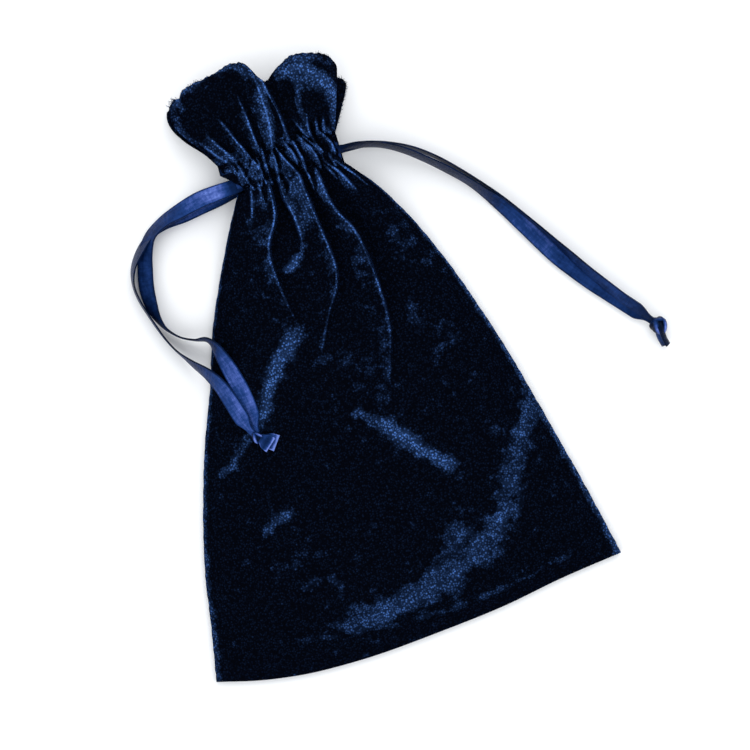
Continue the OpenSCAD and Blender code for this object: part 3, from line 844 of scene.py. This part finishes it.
def front_heading():
    """The ruffle's front, whose cut edge frays."""
    v, u = grid(121, 261, 0.2)
    x, y = ruffle_xy(v, u, FRONT_TOP, 0)
    y = y + v**4 * (0.3 * noise(x, 0 * x, 0.8, 51) + 0.12 * noise(x, 0 * x, 3.5, 52))
    relief, light = sum_folds(x, y, RUFFLE_FOLDS, 1.5)
    relief = swell(relief, x, y, RUFFLE_SWELLINGS)
    near, near_light = casing_relief(x, y)
    relief += near * (1 - step(74, 80, y))
    light = np.where(y > 77, light, np.maximum(light, 0.7 * near_light))
    thin, glint = small_gathers(x, y)
    relief += thin * step(74, 80, y)
    light = np.where(glint * step(74, 77, y) > np.abs(light), glint, light)
    side_roll = -2.6 * np.abs(u) ** 10 - 0.9 * step(0.93, 1, v)
    base = CASING_TOP - 0.9 + 1.5 * step(0, 0.25, v) + 0.8 * v
    top = base + relief + side_roll + crush(x, y)
    top = np.maximum(top, CASING_UNDER + 1.6)
    under = np.maximum(top - 1.4, CASING_UNDER + 0.3)
    # painted sheen, the painted light of its folds and gathers, and painted shade in its hollows
    nap_and_painted_light = 0.1 + sheen_strokes(x, y, RUFFLE_SHEEN) + light - swell(0, x, y, RUFFLE_PAINTED_SHADE)
    piece = sheet_mesh("front_heading_cloth", x, y, top, under, nap_and_painted_light)
    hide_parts("front_heading")
    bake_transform(piece)
    rim = np.dstack([x, y, top - FIBRE_DROP])[-1]
    return [piece, fringe("front_heading_fibres", rim, FRONT_TUFTS, 53, "front_heading")]


FIBRE_RINGS = 5
FIBRE_RADIUS = 0.12


def fringe(name, rim, tufts, seed, body):
    """Frayed fibres along a cut edge. rim is a row of points along the edge, and tufts is where
    they stand: (place from, place to, count, length, way), with places from 0 to 1 along the rim
    and way the direction they point, in degrees from +X."""
    random = np.random.default_rng(seed)
    points, faces = [], []
    places = np.linspace(0, 1, len(rim))
    for first, last, count, length, way in tufts:
        for k in range(count):
            at = first + (last - first) * (k + random.uniform(0.1, 0.9)) / count
            root = np.array([np.interp(at, places, rim[:, axis]) for axis in range(3)])
            turn = math.radians(way + random.uniform(-32, 32))
            curl = random.uniform(-0.6, 0.6)
            reach = length * random.uniform(0.45, 1.0)
            faces += skin_faces(len(points), FIBRE_RINGS, 4)
            for ring in range(FIBRE_RINGS):
                t = ring / (FIBRE_RINGS - 1)
                bearing = turn + curl * t
                ahead = np.array((math.cos(bearing), math.sin(bearing), 0.0))
                aside = np.array((-ahead[1], ahead[0], 0.0))
                centre = root + ahead * (reach * t - 0.3) + np.array((0, 0, -0.25 * t * t))
                thick = FIBRE_RADIUS * (1 - 0.75 * t)
                for a in (0, math.pi / 2, math.pi, 1.5 * math.pi):
                    out = aside * math.cos(a) + np.array((0, 0, math.sin(a)))
                    points.append(centre + thick * out)
    piece = make_mesh(name, points, faces)
    store(piece, "nap_and_painted_light", np.full(len(points), 0.5))
    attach(piece, body)
    return piece


def back_heading():
    """The ruffle's back, which shows past the front at the upper left and along the right."""
    v, u = grid(81, 161, 0.2)
    x, y = ruffle_xy(v, u, BACK_TOP, BACK_FLARE)
    y = y + v**4 * (0.3 * noise(x, 0 * x, 0.8, 61) + 0.12 * noise(x, 0 * x, 3.5, 62))
    wave = 0.5 + 0.5 * np.sin(u * 9 + 0.6 + 1.2 * v)
    ridges = gathers(x / (1 + 0.55 * v), 11, 63)
    under = v * 1.2 * wave * (1 - 0.9 * np.abs(u) ** 8) + 0.5 * (1 - ridges) * (1 - v) ** 1.5
    thickness = 3.3 * (1 - v) ** 2 + 1.3
    top = np.minimum(under + thickness, BACK_CASING_TOP) - 0.5 * (1 - ridges) * (1 - v) ** 1.5
    nap_and_painted_light = -0.3 + 0.5 * step(0.9, 1, -u) * v
    piece = sheet_mesh("back_heading_cloth", x, y, top, under, nap_and_painted_light)
    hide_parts("back_heading")
    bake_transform(piece)
    edge = np.dstack([x, y, top - FIBRE_DROP])
    corner = np.concatenate([edge[-1, 120:], edge[:, -1][::-1]])
    return [piece, fringe("back_heading_fibres", corner, BACK_TUFTS, 64, "back_heading")]


# ---------------------------------------------------------------- ribbons

RIBBON_W = 6
RIBBON_T = 0.4

# x, y, z and the roll of the ribbon's width about its own line in degrees, as in the part's source
LEFT_FRONT_ROUTE = [
    [-18.7, 65.4, 10.15, 5], [-24, 65.2, 9.6, 5], [-31, 64.8, 8, 5], [-38, 63.4, 6.4, 22],
    [-45.6, 61.4, 5, 44], [-51.4, 58, 4.4, 46], [-54.8, 52.9, 3.8, 30], [-56.8, 47, 3.4, 20],
    [-58.2, 41, 3.2, 22], [-58.4, 35, 3.4, 40], [-57.6, 29.4, 3.6, 65], [-55.6, 24.6, 3.8, 82],
    [-51.8, 20.6, 4.4, 88], [-47, 18, 5.8, 86], [-43, 16.6, 7.6, 75], [-40.7, 13.2, 9.2, 58],
    [-39.2, 8.6, 10.2, 35], [-37.8, 3.2, 10.8, 15], [-36.3, -3.6, 11.4, 5],
    [-35.5, -9.6, 11.8, 8], [-35.2, -15.4, 12.4, 20], [-35.3, -18.8, 13, 25],
]
LEFT_BACK_ROUTE = [
    [-18.7, 65, 1.55, 0], [-24, 64, 2, 5], [-31, 63, 2.4, 12], [-38, 61.6, 2.8, 30],
    [-45.2, 60.5, 3, 50], [-51.4, 58.2, 3, 60], [-56.8, 53.8, 3, 60], [-60.8, 48.6, 3, 70],
    [-62.4, 43, 3, 80], [-62, 37.4, 3, 82], [-60.6, 32, 3, 82], [-58.9, 26.4, 3, 83],
    [-56.8, 20.8, 3.2, 85], [-54, 15.4, 3.8, 84], [-50.2, 10, 5.2, 70], [-46, 4.8, 7.8, 50],
    [-42.9, -0.6, 10, 35], [-40.9, -6.6, 11.4, 25], [-39.3, -12.2, 12.4, 20],
    [-37.6, -17.6, 13.2, 20],
]
RIGHT_FRONT_ROUTE = [
    [23.2, 67.4, 10.85, 65], [29, 66.8, 9.8, 76], [36, 64.8, 8.2, 78], [43, 60.9, 6.6, 76],
    [49.5, 55.8, 5.2, 74], [56, 50, 4.2, 70], [62, 43.8, 3.6, 70], [67.2, 37.3, 3.2, 60],
    [72.2, 30.4, 2.6, 36], [76.6, 23.2, 2, 12], [80.6, 16, 1.4, 0], [84.4, 9.4, 1.4, 0],
    [88.6, 3.4, 1.4, 0], [93.6, -3.2, 1.6, 5], [99, -9.6, 1.8, 10], [104.2, -15.8, 2.2, 15],
    [108.6, -21.2, 2.8, 20],
]
RIGHT_BACK_ROUTE = [
    [23.2, 67.8, 2.25, 40], [30, 67.2, 3, 76], [38, 65, 3.2, 84], [46, 61.1, 3.2, 85],
    [53.5, 55.4, 3.2, 85], [60.4, 48.4, 3.2, 85], [66.6, 41.2, 3.2, 85], [72.2, 34, 3.2, 85],
    [77.5, 26.4, 3.2, 85], [81.8, 20, 3.2, 84], [85.2, 14.4, 3.2, 78], [88.6, 8.4, 3.2, 66],
    [92.7, 1.5, 3.2, 58], [97.1, -5.1, 3.4, 54], [101.7, -11.8, 3.4, 50], [106.4, -17.9, 3.4, 46],
    [109.7, -22, 3.4, 45],
]
LEFT_KNOT_AT = np.array((-35.6, -21.2, 13.4))
RIGHT_KNOT_AT = np.array((111.6, -24.8, 3.2))
LEFT_TAILS = [
    [[-35.3, -20.9, 13.9, 5], [-34.2, -22.2, 14.3, 5], [-33, -23.8, 14.7, 10],
     [-31.8, -25.3, 14.9, 14]],
    [[-35.2, -20.9, 12.9, 5], [-33.8, -22.1, 12.9, 0], [-31.8, -23.7, 12.9, -4],
     [-29.7, -25.3, 12.9, -8]],
]
RIGHT_TAILS = [
    [[111.2, -25.6, 3.2, 50], [110.8, -27.3, 3, 52], [111, -29.6, 2.6, 56],
     [111.7, -32.5, 2.3, 62]],
    [[111.7, -24.4, 5.5, 0], [111.9, -26.2, 5.8, -10], [112.1, -28.2, 4.3, -30],
     [112.4, -30.3, 3.1, -45], [113, -32.6, 2.5, -50]],
]
TUNNEL_Y = middle_y("left_front_run")
# how far each ribbon is drawn on, straight, inside the casing
INSIDE = 13

# painted light along each free ribbon, from the casing's mouth (0) to the knot (1): painted
# highlights where it bends, painted shade where it leaves the casing
LEFT_FRONT_LIT = [
    (0, 0.25), (0.027, 0.72), (0.106, 0.74), (0.19, 0.6), (0.3, 0.48), (0.47, 0.45), (0.57, 0.5),
    (0.66, 0.55), (0.77, 0.75), (0.87, 0.75), (1, 0.65),
]
LEFT_BACK_LIT = [
    (0, 0.25), (0.064, 0.6), (0.15, 0.8), (0.31, 0.5), (0.57, 0.4), (0.73, 0.6), (0.89, 0.8),
    (1, 0.65),
]
RIGHT_FRONT_LIT = [
    (0, 0.2), (0.25, 0.3), (0.47, 0.55), (0.6, 0.65), (0.73, 0.5), (0.89, 0.5), (0.95, 0.3),
    (1, 0.1),
]
RIGHT_BACK_LIT = [
    (0, 0.3), (0.1, 0.5), (0.36, 0.35), (0.57, 0.45), (0.7, 0.6), (0.87, 0.65), (0.94, 0.4),
    (1, 0.1),
]


def drawstring(name):
    """The body that left_front_run, right_knot and so on belong to."""
    return name.split("_")[0] + "_drawstring"


def drawn_on(route):
    """The route with its unseen start: straight from inside the casing."""
    x, y, z, roll = route[0]
    inwards = 1 if x < 0 else -1
    return [
        [x + inwards * INSIDE, TUNNEL_Y, z, 0],
        [x + inwards * 0.5 * INSIDE, 0.2 * y + 0.8 * TUNNEL_Y, z, 0],
        [x + inwards * 0.2 * INSIDE, 0.75 * y + 0.25 * TUNNEL_Y, z, 0.3 * roll],
    ] + route


def into_knot(route, knot_at):
    """The route with its hidden end, most of the way to the middle of the knot."""
    last = np.array(route[-1])
    ball = np.array([*knot_at, last[3]])
    return route + [list(last + 0.7 * (ball - last))]


def strand(name, route, knot_at, lit, grip, length, with_pieces):
    """One free ribbon, from inside the casing to its knot. grip is how narrow the casing's mouth
    bunches it."""
    path = smooth_route(drawn_on(into_knot(route, knot_at)), 0.8)
    travel = travelled(path)
    s = (travel - INSIDE) / (travel[-1] - INSIDE)
    path[:, 3] += 3 * noise(s * 40, 0 * s, 4, 71)
    bunched = step(-0.07, -0.02, s) * (1 - step(-0.01, 0.075, s))
    narrow = 1 - 0.6 * step(0.94, 0.98, s) - (1 - grip) * bunched
    section = ribbon_section(RIBBON_W, RIBBON_T)
    piece = band_mesh(f"{name}_ribbon", path, section, narrow, read(lit, s))
    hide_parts(f"{name}_strand")
    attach(piece, drawstring(name))
    return piece


def run(name):
    """The part of a ribbon that lies inside a casing, out of sight. It stops a little past the
    start of the free ribbon."""
    low, high = corners(f"{name}_run")
    trim = INSIDE - 1
    x0 = low[0] + (trim if name.startswith("left") else 0.5)
    x1 = high[0] - (trim if name.startswith("right") else 0.5)
    x = np.linspace(x0, x1, 40)
    z = (low[2] + high[2]) / 2 + 0.04 * noise(x, 0 * x, 3, 72)
    route = np.stack([x, TUNNEL_Y + 0 * x, z, 0 * x], axis=1)
    piece = band_mesh(f"{name}_run_ribbon", route, ribbon_section(RIBBON_W, RIBBON_T, 0.0))
    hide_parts(f"{name}_run")
    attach(piece, drawstring(name))
    return piece


def strap(name, centre, axis, tilt, shift, radius, width, lit):
    """One turn of ribbon bedded on a knot's ball. It goes round a line through the ball, axis
    degrees from +X and tilted up by tilt degrees, at the place shift along that line."""
    t = np.linspace(0, 2 * math.pi, 60, endpoint=False)[:, None]
    b = np.linspace(0, 2 * math.pi, 18, endpoint=False)[None, :]
    across = 0.5 * width * np.cos(b) * (1 - 0.3 * np.cos(t) ** 2)
    place = shift + across + 0.25 * np.sin(2 * t)
    ball = radius * np.sqrt(np.clip(1 - (place / (1.12 * radius)) ** 2, 0.1, 1))
    crease = 0.16 * np.cos(3 * math.pi * across / width + 0.6)
    out = ball + (0.34 + crease) * np.sin(b) * (1 - 0.3 * np.cos(t) ** 2)
    a, e = math.radians(axis), math.radians(tilt)
    ahead = np.array((math.cos(a) * math.cos(e), math.sin(a) * math.cos(e), math.sin(e)))
    aside = np.array((-math.sin(a), math.cos(a), 0))
    up = np.cross(ahead, aside) * np.array((1, 1, 0.92))
    rings = (
        centre + ahead * place[..., None] + aside * (out * np.cos(t))[..., None]
        + up * (out * np.sin(t))[..., None]
    )
    piece = skin_mesh(name, rings, closed=True)
    # painted highlight over the top of each turn, darker at its edges and underneath
    crown = np.clip(np.sin(t), 0, 1) ** 0.7 * (0.7 - 0.3 * np.cos(t))
    shade = lit * crown * (1 - 0.75 * (2 * across / width) ** 2) * (0.55 + 0.45 * np.sin(b))
    weave_and_painted_light(piece, radius * t + 0 * b, across, shade)
    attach(piece, drawstring(name))
    return piece


def knot(name, centre, axis, radius, turns):
    """A knot: turns of ribbon, each (axis, tilt, shift, size, width, lit), round a lumpy ball."""
    straps = [
        strap(f"{name}_ribbon_strap_{k}", centre, around, tilt, shift, radius * size, width, lit)
        for k, (around, tilt, shift, size, width, lit) in enumerate(turns, 1)
    ]
    a = math.radians(axis)
    t = np.linspace(-0.97, 0.97, 25)[:, None]
    b = np.linspace(0, 2 * math.pi, 24, endpoint=False)[None, :]
    girth = 0.88 * radius * np.sqrt(1 - t**2) * (1 + 0.05 * np.cos(4 * b + 3 * t))
    ahead = np.array((math.cos(a), math.sin(a), 0))
    aside = np.array((-math.sin(a), math.cos(a), 0))
    up = np.array((0, 0, 0.9))
    rings = (
        centre + ahead * (radius * t + 0 * b)[..., None] + aside * (girth * np.cos(b))[..., None]
        + up * (girth * np.sin(b))[..., None]
    )
    middle = skin_mesh(f"{name}_ribbon_core", rings)
    # painted shade: the ball is kept dark between the turns
    weave_and_painted_light(middle, radius * t + 0 * b, radius * b + 0 * t, 0.05 + 0 * girth)
    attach(middle, drawstring(name))
    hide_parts(name)
    return straps + [middle]


def tail(name, route, widths, lit, edge_light):
    """The cut end of a ribbon past its knot, with its width and its painted light along it."""
    path = smooth_route(route, 0.3)
    s = np.linspace(0, 1, len(path))
    section = ribbon_section(RIBBON_W, RIBBON_T, 0.3)
    piece = band_mesh(name, path, section, read(widths, s), read(lit, s), edge_light)
    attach(piece, drawstring(name))
    return piece


# ---------------------------------------------------------------- materials


def new_material(name):
    """A material, its node tree and its shader."""
    material = bpy.data.materials.new(name)
    material.use_nodes = True
    tree = material.node_tree
    shader = tree.nodes["Principled BSDF"]
    return material, tree, shader


def add(tree, kind, links=None, **values):
    """A node with its settings, and its inputs from values or from other nodes' outputs."""
    made = tree.nodes.new(kind)
    for key, value in values.items():
        setattr(made, key, value)
    for socket, source in (links or {}).items():
        if isinstance(source, bpy.types.NodeSocket):
            tree.links.new(source, made.inputs[socket])
        else:
            made.inputs[socket].default_value = source
    return made


def maths(tree, operation, *values, **settings):
    """What an operation makes of some values or sockets."""
    made = add(
        tree, "ShaderNodeMath", dict(enumerate(values)), operation=operation, **settings
    )
    return made.outputs[0]


def remap(tree, value, from_min, from_max, to_min, to_max, **settings):
    """A value taken from one range to another."""
    ranges = {"From Min": from_min, "From Max": from_max, "To Min": to_min, "To Max": to_max}
    made = add(tree, "ShaderNodeMapRange", {"Value": value, **ranges}, **settings)
    return made.outputs[0]


def mesh_value(tree, name):
    """A number that the mesh keeps for each vertex."""
    return add(tree, "ShaderNodeAttribute", attribute_name=name).outputs["Fac"]


def grain_noise(tree, place, scale, detail, **more):
    """Smooth noise of a scale. more is the other inputs it sets."""
    links = {"Vector": place, "Scale": scale, "Detail": detail, **more}
    return add(tree, "ShaderNodeTexNoise", links).outputs["Fac"]


def mixed(tree, factor, first, second):
    """A colour between two."""
    links = {"Factor": factor, 6: (*first, 1), 7: (*second, 1)}
    return add(tree, "ShaderNodeMix", links, data_type="RGBA").outputs[2]


def bumped(tree, height, strength, distance, **more):
    """A normal that follows a height."""
    links = {"Strength": strength, "Distance": distance, "Height": height, **more}
    return add(tree, "ShaderNodeBump", links).outputs[0]


def set_inputs(shader, **values):
    """Sets the shader's plain inputs: roughness, specular_ior_level and so on."""
    names = {name.lower().replace(" ", "_"): name for name in shader.inputs.keys()}
    for key, value in values.items():
        shader.inputs[names[key]].default_value = value


def velvet(name, dark, bright, sheen_tint):
    """Crushed velvet: near black, blue where the mesh asks for painted sheen or painted light, and
    painted glints as dots on single tufts, the more the stronger the painted sheen."""
    material, tree, shader = new_material(name)
    place = add(tree, "ShaderNodeTexCoord").outputs["Object"]
    nap_and_painted_light = mesh_value(tree, "nap_and_painted_light")
    tufts = grain_noise(tree, place, 1650, 1, Roughness=0.5)
    clumps = grain_noise(tree, place, 230, 3, Roughness=0.6)
    patches = remap(tree, clumps, 0.40, 0.72, -0.28, 0.12)
    uneven = maths(tree, "ADD", nap_and_painted_light, patches)
    painted_sheen = remap(tree, uneven, 0.0, 1.15, 0.0, 1.0)
    cells = add(tree, "ShaderNodeTexVoronoi", {"Vector": place, "Scale": 1350, "Randomness": 1.0})
    distance = cells.outputs["Distance"]
    tips = remap(tree, distance, 0.62, 0.18, 0.0, 1.0, interpolation_type="SMOOTHSTEP")
    each = add(tree, "ShaderNodeSeparateColor", {"Color": cells.outputs["Color"]})
    luck = maths(tree, "MULTIPLY_ADD", each.outputs[0], 1.6, 0.1)
    dots = maths(tree, "MULTIPLY", tips, luck)
    seen = maths(tree, "MULTIPLY_ADD", painted_sheen, 0.80, 0.02)
    # painted glints: single tufts lit as bright dots
    painted_glints = maths(tree, "MULTIPLY", dots, seen)
    soft = maths(tree, "MULTIPLY_ADD", painted_sheen, 0.14, painted_glints)
    # painted highlights along the edges of folds, where the mesh's value passes 1.1
    creases = remap(tree, nap_and_painted_light, 1.1, 1.6, 0.0, 0.3)
    shine = maths(tree, "ADD", soft, creases, use_clamp=True)
    tree.links.new(mixed(tree, shine, dark, bright), shader.inputs["Base Color"])
    pile = bumped(tree, tufts, 0.8, 0.0004)
    dents = bumped(tree, clumps, 0.5, 0.0010, Normal=pile)
    tree.links.new(dents, shader.inputs["Normal"])
    set_inputs(
        shader, roughness=0.9, specular_ior_level=0.0, sheen_weight=0.4, sheen_roughness=0.2,
        sheen_tint=(*sheen_tint, 1),
    )
    return material


def satin(name, shades):
    """Satin ribbon: fine warp threads along it, a real gloss, and painted highlights and shade
    that follow how it bends, from the mesh's lit value. shades are (place, colour) stops from its
    darkest to its palest."""
    material, tree, shader = new_material(name)
    across = mesh_value(tree, "across")
    along = mesh_value(tree, "along")
    lit = mesh_value(tree, "lit")
    weave = add(tree, "ShaderNodeCombineXYZ", {"X": across, "Y": along}).outputs[0]
    scales = {
        "threads": (7.5, 0.7, 1.0), "creases": (0.35, 1.1, 1.0), "mottle": (0.3, 0.16, 1.0),
        "streaks": (0.75, 0.035, 1.0),
    }
    grain = {}
    for key, scale in scales.items():
        spread = add(tree, "ShaderNodeVectorMath", {0: weave, 1: scale}, operation="MULTIPLY")
        grain[key] = grain_noise(tree, spread.outputs[0], 1.0, 2)
    shade = lit
    for key, gain in (("threads", 0.4), ("creases", 0.3), ("mottle", 0.5), ("streaks", 0.5)):
        part = remap(tree, grain[key], 0.0, 1.0, -gain / 2, gain / 2)
        shade = maths(tree, "ADD", shade, part)
    ramp = add(tree, "ShaderNodeValToRGB", {"Fac": shade})
    stops = ramp.color_ramp.elements
    while len(stops) < len(shades):
        stops.new(0.5)
    for stop, (place, colour) in zip(stops, shades):
        stop.position = place
        stop.color = (*colour, 1)
    tree.links.new(ramp.outputs["Color"], shader.inputs["Base Color"])
    threads = bumped(tree, grain["threads"], 0.35, 0.0002)
    folds = bumped(tree, grain["creases"], 0.4, 0.0008, Normal=threads)
    tree.links.new(folds, shader.inputs["Normal"])
    set_inputs(
        shader, roughness=0.42, specular_ior_level=0.16, specular_tint=(0.12, 0.35, 1.0, 1),
        sheen_weight=0.04, sheen_roughness=0.4, sheen_tint=(0.1, 0.25, 1.0, 1),
    )
    return material


def thread_material(name, colour):
    """Twisted sewing thread."""
    material, tree, shader = new_material(name)
    place = add(tree, "ShaderNodeTexCoord").outputs["Object"]
    wave = add(tree, "ShaderNodeTexWave", {"Vector": place, "Scale": 900, "Distortion": 2})
    twist = wave.outputs["Fac"]
    paler = [c * 2.2 for c in colour]
    tree.links.new(mixed(tree, twist, colour, paler), shader.inputs["Base Color"])
    tree.links.new(bumped(tree, twist, 0.5, 0.0001), shader.inputs["Normal"])
    set_inputs(shader, roughness=0.8, specular_ior_level=0.1)
    return material


def dress(piece, material):
    """Gives a piece its material."""
    piece.data.materials.clear()
    piece.data.materials.append(material)


# ---------------------------------------------------------------- camera, light and floor


CAMERA_AT = (0.01028, -0.01244, 0.904)
POUCH_TURN = 17
LENS_MM, SENSOR_MM = 121.8, 36


def aim_camera():
    """Straight down on the pouch, which lies turned by POUCH_TURN degrees in the view."""
    data = bpy.data.cameras.new("camera")
    camera = add_object("camera", data)
    camera.location = CAMERA_AT
    camera.rotation_euler = (0, 0, math.radians(-POUCH_TURN))
    data.sensor_width = SENSOR_MM
    data.lens = LENS_MM
    data.clip_start = 0.01
    data.clip_end = 10
    bpy.context.scene.camera = camera


SKY_COLOUR = (0.93, 0.96, 1.0, 1)
SKY_STRENGTH = 1.12
# name, place, size in metres, power in watts
LAMPS = [
    ("key", (0.55, 0.75, 0.95), 1.3, 6.5),
    ("fill", (-0.9, -0.4, 0.9), 0.9, 3),
]
LAMPS_AIM_AT = (0.01, -0.01, 0)


def light_scene():
    """A pale sky all round, and two big soft lamps."""
    world = bpy.data.worlds.new("studio")
    bpy.context.scene.world = world
    world.use_nodes = True
    sky = world.node_tree.nodes["Background"].inputs
    sky["Color"].default_value = SKY_COLOUR
    sky["Strength"].default_value = SKY_STRENGTH
    for name, place, size, power in LAMPS:
        data = bpy.data.lights.new(name, "AREA")
        data.size = size
        data.energy = power
        lamp = add_object(name, data)
        lamp.location = place
        x, y, z = np.array(place) - np.array(LAMPS_AIM_AT)
        lamp.rotation_euler = (math.atan2(math.hypot(x, y), z), 0, math.atan2(x, -y))
    bpy.context.scene.view_settings.view_transform = "Standard"


FLOOR_RADIUS = 1.6
FLOOR_Z = -0.0002


def lay_floor():
    """A round sheet of white paper, its faces finer near the pouch."""
    rings, sides = 10, 64
    points = [(0, 0, FLOOR_Z)]
    for r in range(1, rings + 1):
        out = FLOOR_RADIUS * (r / rings) ** 2
        for k in range(sides):
            a = 2 * math.pi * k / sides
            points.append((out * math.cos(a), out * math.sin(a), FLOOR_Z))
    faces = [(0, 1 + k, 1 + (k + 1) % sides) for k in range(sides)]
    for r in range(rings - 1):
        for k in range(sides):
            a, b = 1 + r * sides + k, 1 + r * sides + (k + 1) % sides
            faces.append((a, a + sides, b + sides, b))
    mesh = bpy.data.meshes.new("floor")
    mesh.from_pydata(points, [], faces)
    floor = add_object("floor", mesh)
    material, _, shader = new_material("paper")
    set_inputs(shader, base_color=(0.93, 0.93, 0.93, 1), roughness=0.9)
    mesh.materials.append(material)


# ---------------------------------------------------------------- put together

aim_camera()
light_scene()
lay_floor()

velvet_cloth = velvet(
    "velvet", (0.0009, 0.0013, 0.0030), (0.066, 0.170, 0.500), (0.035, 0.10, 0.36)
)
satin_cloth = satin(
    "satin",
    [(0.0, (0.0004, 0.0008, 0.0030)), (0.35, (0.0024, 0.0110, 0.0520)),
     (0.65, (0.0110, 0.0360, 0.1500)), (0.85, (0.0560, 0.0960, 0.3300)),
     (1.0, (0.1350, 0.2050, 0.5600))],
)
sewing_thread = thread_material("thread", (0.005, 0.010, 0.030))

left_knot = knot(
    "left_knot", LEFT_KNOT_AT, -48, 2.0,
    [(8, 14, -0.5, 1.05, 1.5, 1.5), (62, -14, 0.6, 0.95, 1.3, 1.4)],
)
right_knot = knot(
    "right_knot", RIGHT_KNOT_AT + np.array((0.1, -0.4, 0)), -52, 3.0,
    [(96, -26, 1.3, 1, 2.2, 0.75), (10, 20, -0.1, 1.04, 2.2, 1.25),
     (-4, -22, 1.2, 1.04, 1.8, 1.45)],
)
fan = [(0, 0.3), (0.3, 0.55), (0.6, 0.9), (1, 1.0)]
pinched = [(0, 0.3), (0.5, 0.38), (1, 0.45)]
# painted light: painted shade where the tails leave the knot, the second under the first, painted
# highlights at the left tails' cut ends and edges; the right tails are kept dark
left_tails = [
    tail("left_ribbon_tail_1", LEFT_TAILS[0], fan,
         [(0, 0.1), (0.4, 0.5), (0.85, 0.6), (0.95, 1.1), (1, 1.3)], 1.5),
    tail("left_ribbon_tail_2", LEFT_TAILS[1], fan,
         [(0, 0), (0.4, 0.15), (0.6, 0.5), (0.85, 0.75), (0.95, 1.2), (1, 1.4)], 1.5),
]
right_tails = [
    tail("right_ribbon_tail_1", RIGHT_TAILS[0], pinched, [(0, 0.1), (0.5, 0.8), (1, 0.3)], 0),
    tail("right_ribbon_tail_2", RIGHT_TAILS[1], pinched, [(0, 0), (1, 0.1)], 0),
]
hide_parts("left_ribbon_tails")
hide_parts("right_ribbon_tails")
# name, route, where its knot is, its painted light, the casing's grip, length, what goes with it
strands = [
    ("left_front", LEFT_FRONT_ROUTE, LEFT_KNOT_AT, LEFT_FRONT_LIT, 0.9, 0.138,
     left_knot + left_tails),
    ("left_back", LEFT_BACK_ROUTE, LEFT_KNOT_AT, LEFT_BACK_LIT, 0.9, 0.137, []),
    ("right_front", RIGHT_FRONT_ROUTE, RIGHT_KNOT_AT, RIGHT_FRONT_LIT, 0.5, 0.144,
     right_knot + right_tails),
    ("right_back", RIGHT_BACK_ROUTE, RIGHT_KNOT_AT, RIGHT_BACK_LIT, 0.5, 0.145, []),
]
ribbons = [strand(*row) for row in strands]
ribbons += [run(row[0]) for row in strands]
for piece in ribbons + left_knot + right_knot + left_tails + right_tails:
    dress(piece, satin_cloth)

for build in (front_panel, back_panel, front_casing, back_casing, front_heading, back_heading):
    for piece in build():
        dress(piece, velvet_cloth)
dress(casing_stitches(), sewing_thread)

for node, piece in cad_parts.items():
    if piece.hide_render:
        continue
    piece.data.materials.clear()
    piece.data.materials.append(sewing_thread if node.endswith("thread") else velvet_cloth)
